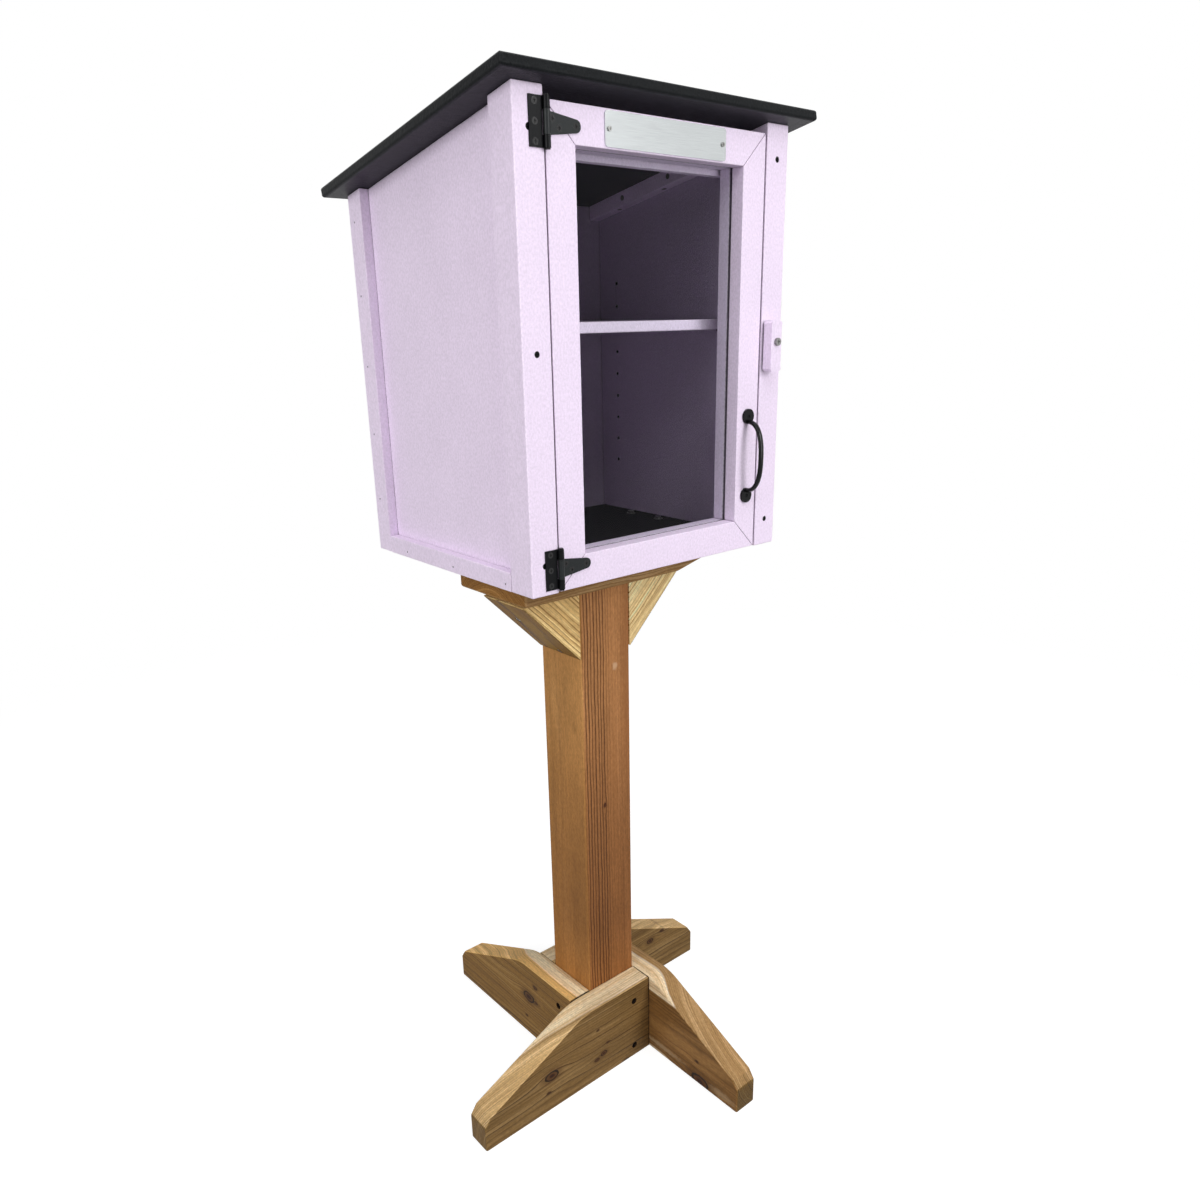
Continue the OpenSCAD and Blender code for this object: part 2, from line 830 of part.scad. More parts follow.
module roof_cleat(side) {
    drop = cleat_h / cos(roof_pitch);
    color(lilac) mirror_x(side) difference() {
        translate([x_in - cleat_w, 0, 0]) rotate([90, 0, 90]) linear_extrude(height = cleat_w)
            polygon([[y_stop, roof_z(y_stop)], [y_stop, roof_z(y_stop) - drop],
                     [y_back_in, roof_z(y_back_in) - drop], [y_back_in, roof_z(y_back_in)]]);
        at_cleat_roof_screws() board_screw_hole(cleat_h + cleat_screw_bite);
        at_cleat_side_screws() board_screw_hole(cleat_w + cleat_screw_bite);
    }
}

// Shelf: its underside is notched over the pins, so that it can't slide

module shelf() {
    color(lilac) difference() {
        translate([-shelf_x, shelf_y0, pin_z]) cube([2 * shelf_x, y_back_in - shelf_gap - shelf_y0, shelf_t]);
        for (side = [-1, 1]) mirror_x(side) at_pins(0)
            translate([0, 0, -pin_show - shelf_gap])
                cylinder(h = pin_show + 2 * shelf_gap, d = pin_d + 2 * hole_gap);
    }
}

module shelf_pins() {
    color(black_steel) for (side = [-1, 1]) mirror_x(side) at_pins(0)
        translate([0, 0, -pin_show]) cylinder(h = pin_show + pin_hole_l - shelf_gap / 2, d = pin_d);
}

// Door: four mitred members round a pane that sits in their groove

module groove() {
    translate([door_mid - window_x - groove_l, pane_y - pane_gap, window_z0 - groove_l])
        cube([2 * (window_x + groove_l), groove_t, window_z1 - window_z0 + 2 * groove_l]);
}

// Extrudes an outline drawn in X and Z through the door's thickness
module through_door() {
    translate([door_mid, door_back, 0]) rotate([90, 0, 0]) linear_extrude(height = door_t) children();
}

// The screws that close the mitres, down through the top rail or up through the bottom rail
module at_door_screws() {
    for (x = [-door_x + door_screw_in, door_x - door_screw_in]) {
        translate([door_mid + x, door_back - door_screw_back, door_z1]) mirror([0, 0, 1]) children();
        translate([door_mid + x, door_back - door_screw_back, door_z0]) children();
    }
}

module door_holes() {
    at_door_screws() board_screw_hole(door_screw_l);
    groove();
}

module door_stile(side) {
    color(lilac) difference() {
        through_door() polygon([[side * door_x, door_z0], [side * door_x, door_z1],
            [side * window_x, window_z1], [side * window_x, window_z0]]);
        door_holes();
        if (side < 0) {
            for (z = [hinge_top_z, hinge_bottom_z]) at_strap_screws(z) strap_screw_hole();
        } else {
            at_handle_screws() board_screw_hole(handle_screw_l);
        }
    }
}

module door_rail_top() {
    color(lilac) difference() {
        through_door() polygon([[-door_x, door_z1], [door_x, door_z1],
            [window_x, window_z1], [-window_x, window_z1]]);
        door_holes();
        at_strap_screws(hinge_top_z) strap_screw_hole();
        at_sign_screws() pan_screw_hole(sign_screw_d, sign_screw_l);
    }
}

module door_rail_bottom() {
    color(lilac) difference() {
        through_door() polygon([[-door_x, door_z0], [door_x, door_z0],
            [window_x, window_z0], [-window_x, window_z0]]);
        door_holes();
        at_strap_screws(hinge_bottom_z) strap_screw_hole();
    }
}

module door_corner_screws() {
    color(zinc) at_door_screws() board_screw(door_screw_l);
}

module window_pane() {
    color(clear) translate([door_mid - pane_x, pane_y, pane_z0])
        cube([2 * pane_x, pane_t, pane_z1 - pane_z0]);
}

// Handle: a bow between two screwed rosettes, swept as rings of an oval

// Height and reach of the bow's centre line at an angle from the lower to the upper end
function sign_power(v, p) = (v < 0 ? -1 : 1) * pow(abs(v), p);
function bow_z(a) = -bow_half * sign_power(cos(a), 2 / bow_power);
function bow_y(a) = -rosette_t / 2 - bow_depth * pow(max(sin(a), 0), 2 / bow_power);
function bow_slope(a) =
    atan2(bow_y(a + bow_step) - bow_y(a - bow_step), bow_z(a + bow_step) - bow_z(a - bow_step));
function bow_ring(a, slope) = [for (i = [0:bow_sides - 1])
    let (turn = 360 * i / bow_sides, out = bar_t / 2 * sin(turn))
    [bar_w / 2 * cos(turn), bow_y(a) + out * cos(slope), bow_z(a) - out * sin(slope)]];

module bow() {
    angles = [for (i = [0:bow_rings]) 180 * i / bow_rings];
    points = [for (a = angles) each bow_ring(a, bow_slope(a))];
    walls = [for (r = [0:bow_rings - 1], i = [0:bow_sides - 1])
        let (next = (i + 1) % bow_sides, low = r * bow_sides, high = low + bow_sides)
        each [[low + i, high + i, low + next], [low + next, high + i, high + next]]];
    last = bow_rings * bow_sides;
    start_cap = [for (i = [1:bow_sides - 2]) [0, i, i + 1]];
    end_cap = [for (i = [1:bow_sides - 2]) [last, last + i + 1, last + i]];
    polyhedron(points, concat(walls, start_cap, end_cap), convexity = 6);
}

module at_handle_screws() {
    for (z = [-1, 1])
        translate([handle_x, y_front - rosette_t, handle_mid + z * handle_cc / 2])
            rotate([-90, 0, 0]) children();
}

module pull_handle() {
    color(black_steel) difference() {
        union() {
            at_handle_screws() cylinder(h = rosette_t, d = rosette_d);
            translate([handle_x, y_front, handle_mid]) bow();
        }
        at_handle_screws() board_screw_hole(handle_screw_l, 2);
    }
}

module handle_screws() {
    color(black_steel) at_handle_screws() board_screw(handle_screw_l);
}

// Sign plate: bare, with a screw at each end

module at_sign_screws() {
    for (x = [-1, 1])
        translate([sign_shift + x * (sign_w / 2 - sign_screw_in), y_front - sign_t, sign_z])
            rotate([-90, 0, 0]) children();
}

module sign_plate() {
    wide = sign_w - 2 * sign_r;
    high = sign_h - 2 * sign_r;
    color(brushed) difference() {
        translate([sign_shift, y_front, sign_z]) rotate([90, 0, 0]) linear_extrude(height = sign_t) {
            square([wide, sign_h], center = true);
            square([sign_w, high], center = true);
            for (x = [-1, 1], y = [-1, 1]) translate([x * wide / 2, y * high / 2]) circle(r = sign_r);
        }
        at_sign_screws() pan_screw_hole(sign_screw_d, sign_screw_l);
    }
}

module sign_screws() {
    color(zinc) at_sign_screws() pan_screw(sign_screw_d, sign_screw_l, sign_screw_head_d, sign_screw_head_h);
}

// Hinges: each has a leaf on the corner post and a strap on the door

module strap_screw_hole() {
    flat_screw_hole(board_screw_d, strap_screw_l, board_screw_head_d, strap_screw_head_h);
}

module strap_screw() {
    flat_screw(board_screw_d, strap_screw_l, board_screw_head_d, strap_screw_head_h);
}

module at_leaf_screws(z) {
    for (i = [-1:1])
        translate([axis_x - leaf_screw_x, y_front - hinge_t, z + i * leaf_screw_pitch])
            rotate([-90, 0, 0]) children();
}

module at_strap_screws(z) {
    for (i = [0:2])
        translate([axis_x + strap_screw_x[i], y_front - hinge_t, z + strap_screw_z[i]])
            rotate([-90, 0, 0]) children();
}

// A length of the hinge barrel, with the bore for the pin
module knuckle(low, high) {
    translate([axis_x, axis_y, low]) cylinder(h = high - low, d = barrel_d);
}

module pin_bore(z, gap) {
    translate([axis_x, axis_y, z - leaf_h]) cylinder(h = 2 * leaf_h, d = hinge_pin_d + 2 * gap);
}

module hinge_leaf(z) {
    color(black_steel) difference() {
        union() {
            translate([axis_x - leaf_w, y_front - hinge_t, z - leaf_h / 2]) cube([leaf_w, hinge_t, leaf_h]);
            knuckle(z - leaf_h / 2, z - strap_h / 2);
            knuckle(z + strap_h / 2, z + leaf_h / 2);
        }
        translate([axis_x - barrel_d / 2 - knuckle_gap, y_front - hinge_t - cut_over, z - strap_h / 2])
            cube([barrel_d, hinge_t + 2 * cut_over, strap_h]);
        pin_bore(z, hole_gap);
        at_leaf_screws(z) strap_screw_hole();
    }
}

module hinge_strap(z) {
    low = z - strap_h / 2 + knuckle_gap;
    high = z + strap_h / 2 - knuckle_gap;
    tip = strap_l - strap_r;
    color(black_steel) difference() {
        union() {
            translate([axis_x, y_front, z]) rotate([90, 0, 0]) linear_extrude(height = hinge_t) {
                polygon([[0, low - z], [0, high - z], [tip, strap_r], [tip, -strap_r]]);
                translate([tip, 0]) circle(r = strap_r);
            }
            knuckle(low, high);
        }
        pin_bore(z, turn_gap);
        at_strap_screws(z) strap_screw_hole();
    }
}

module hinge_pin(z) {
    color(black_steel) translate([axis_x, axis_y, z - leaf_h / 2]) {
        cylinder(h = leaf_h, d = hinge_pin_d);
        translate([0, 0, leaf_h]) cylinder(h = pin_head_h, d = pin_head_d);
        translate([0, 0, -pin_head_h]) cylinder(h = pin_head_h, d = pin_head_d);
    }
}

module leaf_screws() {
    color(black_steel) for (z = [hinge_top_z, hinge_bottom_z]) at_leaf_screws(z) strap_screw();
}

module strap_screws() {
    color(black_steel) for (z = [hinge_top_z, hinge_bottom_z]) at_strap_screws(z) strap_screw();
}

// Turn button: it hangs down here, and turns a quarter to the left over the door

function pivot_reach() = button_washer_t + 2 * face_gap + button_t + button_screw_bite;

// The pivot screw's place, under its head
module at_pivot() {
    translate([pivot_x, button_y - button_t - face_gap, pivot_z]) rotate([-90, 0, 0]) children();
}

module button_outline() {
    wide = button_w - 2 * button_r;
    low = -button_long + button_r;
    high = button_short - button_r;
    translate([-wide / 2, -button_long]) square([wide, button_long + button_short]);
    translate([-button_w / 2, low]) square([button_w, high - low]);
    for (x = [-wide / 2, wide / 2], y = [low, high]) translate([x, y]) circle(r = button_r);
}

module turn_button() {
    color(lilac) difference() {
        translate([pivot_x, button_y, pivot_z]) rotate([90, 0, 0]) linear_extrude(height = button_t)
            button_outline();
        translate([pivot_x, button_y + cut_over, pivot_z]) rotate([90, 0, 0])
            cylinder(h = button_t + 2 * cut_over, d = button_screw_d + 2 * turn_gap);
    }
}

module turn_button_screw() {
    color(zinc) at_pivot()
        pan_screw(button_screw_d, pivot_reach(), button_screw_head_d, button_screw_head_h);
}

module turn_button_washer() {
    color(zinc) translate([pivot_x, y_front, pivot_z]) rotate([90, 0, 0]) difference() {
        cylinder(h = button_washer_t, d = button_washer_d);
        translate([0, 0, -cut_over])
            cylinder(h = button_washer_t + 2 * cut_over, d = button_screw_d + 2 * hole_gap);
    }
}

post();
leg(0);  // leg_front
leg(90);  // leg_right
leg(180);  // leg_back
leg(270);  // leg_left
leg_screws();
mounting_plate();
brace(-1);  // brace_left
brace(1);  // brace_right
plate_screws();
brace_screws();
cabinet_screws();
cabinet_washers();
floor_panel();
side_panel(-1);  // side_panel_left
side_panel(1);  // side_panel_right
back_panel();
corner_post(-1);  // corner_post_left
corner_post(1);  // corner_post_right
corner_post_screws();
back_stile(-1);  // back_stile_left
back_stile(1);  // back_stile_right
side_rail(-1);  // side_rail_left
side_rail(1);  // side_rail_right
back_rail();
trim_nails();
panel_screws();
front_header();
front_sill();
stop_screws();
roof();
roof_cleat(-1);  // roof_cleat_left
roof_cleat(1);  // roof_cleat_right
roof_screws();
shelf();
shelf_pins();
door_stile(-1);  // door_stile_left
door_stile(1);  // door_stile_right
door_rail_top();
door_rail_bottom();
door_corner_screws();
window_pane();
pull_handle();
handle_screws();
sign_plate();
sign_screws();
hinge_leaf(hinge_top_z);  // hinge_leaf_top
hinge_leaf(hinge_bottom_z);  // hinge_leaf_bottom
hinge_strap(hinge_top_z);  // hinge_strap_top
hinge_strap(hinge_bottom_z);  // hinge_strap_bottom
hinge_pin(hinge_top_z);  // hinge_pin_top
hinge_pin(hinge_bottom_z);  // hinge_pin_bottom
leaf_screws();
strap_screws();
turn_button();
turn_button_screw();
turn_button_washer();
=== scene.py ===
"""Looks of the free library book stand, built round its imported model."""

import json
import math
from collections import namedtuple
from functools import reduce

import bmesh
import bpy
from mathutils import Matrix, Vector

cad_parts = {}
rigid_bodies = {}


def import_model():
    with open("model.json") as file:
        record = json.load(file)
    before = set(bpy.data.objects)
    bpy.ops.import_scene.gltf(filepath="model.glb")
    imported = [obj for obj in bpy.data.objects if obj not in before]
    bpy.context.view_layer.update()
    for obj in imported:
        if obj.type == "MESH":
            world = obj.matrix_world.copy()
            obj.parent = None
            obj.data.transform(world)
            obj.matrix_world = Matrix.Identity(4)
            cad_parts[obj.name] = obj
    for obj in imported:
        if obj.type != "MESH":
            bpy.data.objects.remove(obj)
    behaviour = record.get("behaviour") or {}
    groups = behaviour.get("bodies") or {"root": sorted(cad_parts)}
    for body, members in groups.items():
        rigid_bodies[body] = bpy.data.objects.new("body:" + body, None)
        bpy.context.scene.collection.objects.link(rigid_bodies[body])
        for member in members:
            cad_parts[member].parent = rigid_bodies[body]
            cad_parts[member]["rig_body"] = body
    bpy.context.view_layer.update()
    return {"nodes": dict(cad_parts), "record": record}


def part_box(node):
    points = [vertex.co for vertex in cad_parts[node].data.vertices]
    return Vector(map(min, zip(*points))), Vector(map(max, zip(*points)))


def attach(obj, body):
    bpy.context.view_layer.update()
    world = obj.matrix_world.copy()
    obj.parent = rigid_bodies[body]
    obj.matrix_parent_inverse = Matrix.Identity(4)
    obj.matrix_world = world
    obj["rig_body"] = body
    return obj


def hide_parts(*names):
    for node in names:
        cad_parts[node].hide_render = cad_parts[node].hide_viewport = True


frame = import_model()
NODES = frame["nodes"]
RECORD = frame["record"]

MM = 0.001
X, Y, Z = Vector((1, 0, 0)), Vector((0, 1, 0)), Vector((0, 0, 1))
WHITE = (1.0, 1.0, 1.0, 1.0)
EDGE = "rounded_edge"


def body_of_node(node):
    """The CAD body that a node belongs to."""
    return NODES[node]["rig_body"]


def slot_of_node(node):
    """The record's material slot that a node takes its finish from."""
    return next(p["material_slot"] for p in RECORD["subparts"] if p["node"] == node)


def srgb(red, green, blue):
    """A colour written as it shows on screen, from 0 to 255, as linear RGBA."""
    def linear(value):
        v = value / 255
        return v / 12.92 if v <= 0.04045 else ((v + 0.055) / 1.055) ** 2.4

    return (linear(red), linear(green), linear(blue), 1.0)


def toned(colour, factors, lift=0.0):
    """The colour times one factor, or times one each for red, green and blue, plus a lift, up to 1."""
    if not isinstance(factors, tuple):
        factors = (factors,) * 3
    return tuple(min(1.0, c * factor + lift) for c, factor in zip(colour, factors)) + (1.0,)


# Nodes

# A noise: repeats per millimetre along each axis, detail, roughness, and a shift that sets it apart
Pattern = namedtuple("Pattern", "scale detail roughness shift", defaults=(2.0, 0.5, 0.0))
# How far a shift of 1 moves a pattern along each axis
SHIFT_RATIOS = (1.0, 1.7, 2.3)
# The Mix node's colour sockets go by number, because it has several of each name
MIX_FACTOR, MIX_A, MIX_B, MIX_RESULT = 0, 6, 7, 2
RAMP_MIDDLE = 0.5


class Nodes:
    """A node tree built with short calls. Those that make a node return an output socket."""

    def __init__(self, tree):
        self.tree = tree

    def put(self, socket, value):
        """Links an output to the socket, or sets the socket's value."""
        if isinstance(value, bpy.types.NodeSocket):
            self.tree.links.new(value, socket)
        else:
            socket.default_value = value

    def add(self, kind, inputs=(), output=0, **settings):
        """Adds a node of any kind with its settings and inputs."""
        node = self.tree.nodes.new(kind)
        for name, value in settings.items():
            setattr(node, name, value)
        for key, value in dict(inputs).items():
            self.put(node.inputs[key], value)
        return node.outputs[output]

    def math(self, operation, a, b=0.0, c=0.0):
        return self.add("ShaderNodeMath", {0: a, 1: b, 2: c}, operation=operation)

    def plus(self, a, b):
        return self.math("ADD", a, b)

    def minus(self, a, b):
        return self.math("SUBTRACT", a, b)

    def times(self, a, b):
        return self.math("MULTIPLY", a, b)

    def times_plus(self, a, b, c):
        """a times b, plus c."""
        return self.math("MULTIPLY_ADD", a, b, c)

    def greater(self, a, b):
        return self.math("MAXIMUM", a, b)

    def squared(self, a):
        return self.times(a, a)

    def distance(self, a, b):
        """How far a point lies from the origin, a along one axis and b along another."""
        return self.math("SQRT", self.plus(self.squared(a), self.squared(b)))


class Shader(Nodes):
    """The node tree of a new material."""

    def __init__(self, name):
        self.material = bpy.data.materials.new(name)
        self.material.use_nodes = True
        super().__init__(self.material.node_tree)
        self.surface = self.tree.nodes["Principled BSDF"]
        self.output = self.tree.nodes["Material Output"]

    def set(self, **values):
        """Sets sockets of the surface shader; words in names are joined with underscores."""
        for name, value in values.items():
            self.put(self.surface.inputs[name.replace("_", " ")], value)

    def vector(self, operation, a, b=(0, 0, 0)):
        output = "Value" if operation in ("DOT_PRODUCT", "LENGTH") else "Vector"
        return self.add("ShaderNodeVectorMath", {0: a, 1: b}, output=output, operation=operation)

    def along(self, vector, axis):
        """How far a vector reaches along an axis."""
        return self.vector("DOT_PRODUCT", vector, tuple(axis))

    def combine(self, x, y, z):
        return self.add("ShaderNodeCombineXYZ", {0: x, 1: y, 2: z})

    def split(self, vector):
        """The three parts of a vector or colour."""
        node = self.tree.nodes.new("ShaderNodeSeparateXYZ")
        self.put(node.inputs[0], vector)
        return tuple(node.outputs)

    def place(self):
        """The place on the object, in metres, in the frame at rest."""
        return self.add("ShaderNodeTexCoord", output="Object")

    def millimetres(self):
        """The place on the object, in millimetres, in the frame at rest."""
        return self.vector("MULTIPLY", self.place(), (1 / MM,) * 3)

    def facing(self):
        """The direction that the surface looks in."""
        return self.add("ShaderNodeNewGeometry", output="Normal")

    def worn(self):
        """1 along the rounded edges of a piece, and 0 elsewhere."""
        return self.add("ShaderNodeAttribute", output="Fac", attribute_name=EDGE)

    def noise(self, where, detail=2.0, roughness=0.5, output=0):
        inputs = {"Vector": where, "Scale": 1.0, "Detail": detail, "Roughness": roughness}
        return self.add("ShaderNodeTexNoise", inputs, output=output)

    def pattern(self, where, pattern, seed=0.0, output=0):
        """A pattern's noise, moved by the seed too, so that each material has its own."""
        shift = seed + pattern.shift
        scaled = self.vector("MULTIPLY", where, pattern.scale)
        moved = self.vector("ADD", scaled, tuple(shift * ratio for ratio in SHIFT_RATIOS))
        return self.noise(moved, pattern.detail, pattern.roughness, output)

    def ramp(self, value, stops, interpolation="LINEAR"):
        """A grey or colour ramp; stops are (place, grey or colour)."""
        node = self.tree.nodes.new("ShaderNodeValToRGB")
        self.put(node.inputs[0], value)
        ramp = node.color_ramp
        ramp.interpolation = interpolation
        while len(ramp.elements) < len(stops):
            ramp.elements.new(1.0)
        for element, (place, colour) in zip(ramp.elements, stops):
            element.position = place
            element.color = colour if isinstance(colour, tuple) else (colour, colour, colour, 1)
        return node.outputs[0]

    def remap(self, value, start, stop, low=0.0, high=1.0):
        """Carries start to low and stop to high, and stays level beyond them."""
        return self.add("ShaderNodeMapRange", {0: value, 1: start, 2: stop, 3: low, 4: high})

    def mix(self, factor, a, b, blend="MIX"):
        inputs = {MIX_FACTOR: factor, MIX_A: a, MIX_B: b}
        return self.add("ShaderNodeMix", inputs, output=MIX_RESULT, data_type="RGBA", blend_type=blend)

    def tinted(self, colour, tint):
        """One colour multiplied by another."""
        return self.mix(1.0, colour, tint, "MULTIPLY")

    def mix_shaders(self, factor, a, b):
        return self.add("ShaderNodeMixShader", {0: factor, 1: a, 2: b})

    def bump(self, height, distance):
        return self.add("ShaderNodeBump", {"Height": height, "Distance": distance})


# Composite board

BOARD_GRAINS = Pattern((0.42, 0.42, 0.3), 3.0, 0.6)
BOARD_CLOUDS = Pattern((0.016, 0.016, 0.01), 3.0)
BOARD_PEBBLES = Pattern((0.55, 0.55, 0.4), 2.0, 0.6, 3)
UNDER_STROKES = Pattern((0.1, 0.5, 0.5), 3.0, shift=5)
GRAIN_TONES = [(0.34, 0.0), (0.66, 1.0)]
CLOUD_TONES = [(0.3, 0.96), (0.7, 1.0)]
STROKE_TONES = [(0.38, 0.0), (0.62, 1.0)]
STROKE_DARK = 0.6
LOOKS_DOWN = [(0.6, 0.0), (0.9, 1.0)]
# Painted shade: darker where the surface has little open air within reach
SEAM_REACH = 7 * MM
SEAM_SAMPLES = 4
SEAM_PAINTED_SHADE = [(0.08, 0.9), (0.36, 0.0)]
PAINTED_SHADE_DARK = 0.16
BOARD_RUB = [(0.4, 0.05), (0.62, 0.45)]
RUBBED_TONE, RUBBED_LIFT = 1.12, 0.01
RUBBED_GLOSS = 0.15
GRAIN_HEIGHT = 0.5
PEBBLE_GLOSS = 0.16
PEEL_DEPTH = 0.22 * MM


def composite(
    name, colour, peel=1.6, mottle=0.075, speck=0.0, roughness=0.5, shine=0.35, seed=0.0, painted_underside=None,
):
    """Moulded composite board: an orange peel with a fine mottle, cloudy over larger areas.

    peel is the depth of the orange peel, mottle how far the grains differ from the colour, and speck how
    much paler still the pale ones are. painted_underside is the colour of the faces that look down, a
    painted light from below. The rounded edges are rubbed a little paler and smoother, and shade is
    painted into the narrow gaps.
    """
    s = Shader(name)
    mm = s.millimetres()
    grains = s.pattern(mm, BOARD_GRAINS, seed)
    clouds = s.pattern(mm, BOARD_CLOUDS, seed)
    pebbles = s.pattern(mm, BOARD_PEBBLES, seed)
    tone = s.mix(s.ramp(grains, GRAIN_TONES), toned(colour, 1 - mottle), toned(colour, 1 + mottle, speck))
    tone = s.tinted(tone, s.ramp(clouds, CLOUD_TONES))
    # Painted light: faces that look down take the paler underside colour, with strokes in it
    if painted_underside is not None:
        strokes = s.ramp(s.pattern(mm, UNDER_STROKES, seed), STROKE_TONES)
        painted_beneath = s.mix(strokes, toned(painted_underside, STROKE_DARK), painted_underside)
        down = s.times(s.split(s.facing())[2], -1.0)
        tone = s.mix(s.ramp(down, LOOKS_DOWN, "EASE"), tone, painted_beneath)
    # Painted shade in the narrow gaps, from how little open air lies within reach
    open_air = s.add(
        "ShaderNodeAmbientOcclusion", {"Distance": SEAM_REACH}, output="AO", samples=SEAM_SAMPLES
    )
    tone = s.mix(s.ramp(open_air, SEAM_PAINTED_SHADE), tone, toned(colour, PAINTED_SHADE_DARK))
    rubbed = s.times(s.worn(), s.ramp(grains, BOARD_RUB))
    rough = s.times_plus(pebbles, PEBBLE_GLOSS, roughness - PEBBLE_GLOSS / 2)
    s.set(
        Base_Color=s.mix(rubbed, tone, toned(colour, RUBBED_TONE, RUBBED_LIFT)),
        Roughness=s.times_plus(rubbed, -RUBBED_GLOSS, rough),
        Normal=s.bump(s.times_plus(grains, GRAIN_HEIGHT, pebbles), PEEL_DEPTH * peel),
        Specular_IOR_Level=shine,
    )
    return s.material


# Timber

# Places are in millimetres: along the grain, and across it in the second direction
Knot = namedtuple("Knot", "along across radius")
Stain = namedtuple("Stain", "along across half_length half_width colour strength")
# Quietens the rings to the least strength between start and end, measured along an axis
Calm = namedtuple("Calm", "axis start end least")
# Sapwood starts at this distance from the pith
Sap = namedtuple("Sap", "radius colour")
# Tints along the grain; stops are parts of the length
Tones = namedtuple("Tones", "length stops")
KnotMarks = namedtuple("KnotMarks", "heart rim fill halo push lift")

DRIFT = Pattern((0.011, 0.011, 0.004))
WOBBLE = Pattern((0.05, 0.05, 0.014), shift=5)
PATCHES = Pattern((0.02, 0.02, 0.004), 3.0, shift=11)
FIBRES = Pattern((1.0, 1.0, 0.016), 4.0, 0.62, 17)
FLECKS = Pattern((0.62, 0.62, 0.05), shift=23)
STAIN_EDGES = Pattern((0.25, 0.25, 0.2), 3.0, shift=31)
PORES = Pattern((0.9, 0.9, 0.9), 4.0, 0.75, 37)
GRIT = Pattern((0.42, 0.42, 0.16), 3.0, 0.7, 41)

# A knot's distances are in parts of its radius, and it is longer along the grain
KNOT_EDGES = (0.9, 0.9, 0.6)
KNOT_SHORTENING = 0.62
KNOT_RAGGED = 0.5
KNOT_FADE_ALONG, KNOT_FADE_ACROSS = 0.12, 0.3
KNOT_PUSH = 0.85
KNOT_LIFT = 0.4
KNOT_HEART = [(0.0, 1.0), (0.22, 0.95), (0.42, 0.0)]
KNOT_RIM = [(0.62, 0.0), (0.78, 0.95), (0.88, 0.95), (0.99, 0.0)]
KNOT_FILL = [(0.0, 0.8), (0.72, 0.62), (0.9, 0.0)]
KNOT_HALO = [(0.0, 0.5), (0.5, 0.42), (1.0, 0.0)]
KNOT_HALO_SCALE = 0.5
KNOT_BROWN = (1.1, 0.8, 0.9)
KNOT_PURPLE = (0.45, 0.28, 0.4)
KNOT_BLACK = 0.1

# Years: a line ends each, and they differ in width and strength
WOBBLE_SHARE = 0.9
YEAR_SPREAD_RATE, YEAR_SPREAD = 0.021, 3.2
YEAR_LINE = [(0.0, 0.35), (0.07, 0.0), (0.55, 0.1), (0.8, 0.5), (0.9, 1.0), (0.96, 0.95), (1.0, 0.35)]
QUIET_ON_TOP = [(0.5, 1.0), (0.8, 0.55)]

# Growth zones: pale and dark sheets that follow the rings
ZONES = Pattern((0.14, 0.003), 3.0, 0.62, 29)
PALE_ZONES, DUSKY_ZONES = [(0.54, 0.0), (0.63, 1.0)], [(0.32, 1.0), (0.45, 0.0)]
PALE = (1.42, 1.52, 1.75)
DUSKY_SHARE = 0.45

SAP_DRIFT = 8.0
SAP_SHARPNESS = 0.2
SAP_EDGE = [(0.2, 0.0), (0.8, 1.0)]
SAP_ROSY = (0.78, 0.66, 0.52)
ROSY_ZONES = [(0.4, 0.9), (0.58, 0.0)]
SAP_LINES = 0.5

FACES_THERE = [(0.35, 0.0), (0.6, 1.0)]
PATCH_TONES = [(0.3, 0.86), (0.68, 1.08)]
FIBRE_TONES = [(0.3, 0.85), (0.7, 1.1)]
GRIT_TONES = [(0.34, 0.84), (0.66, 1.15)]
FLECK_SPOTS = [(0.66, 0.0), (0.76, 1.0)]
FLECK_STRENGTH, FLECK_DARK = 0.2, 0.42
STAIN_RAGGED, STAIN_CORE = 0.9, 0.3

# End grain drinks the light: darker, with the pores as specks
END_FACE = [(0.8, 0.0), (0.95, 1.0)]
PORE_PLACES, PORE_FACTORS = (0.35, 0.65), (0.8, 1.25)

WOOD_RUB = [(0.35, 0.0), (0.6, 0.18)]
FIBRE_HEIGHT, LINE_HEIGHT, PORE_HEIGHT = 0.6, 0.5, 1.2
WOOD_DEPTH = 0.4 * MM
LINE_GLOSS = 0.08
WOOD_SHINE = 0.12


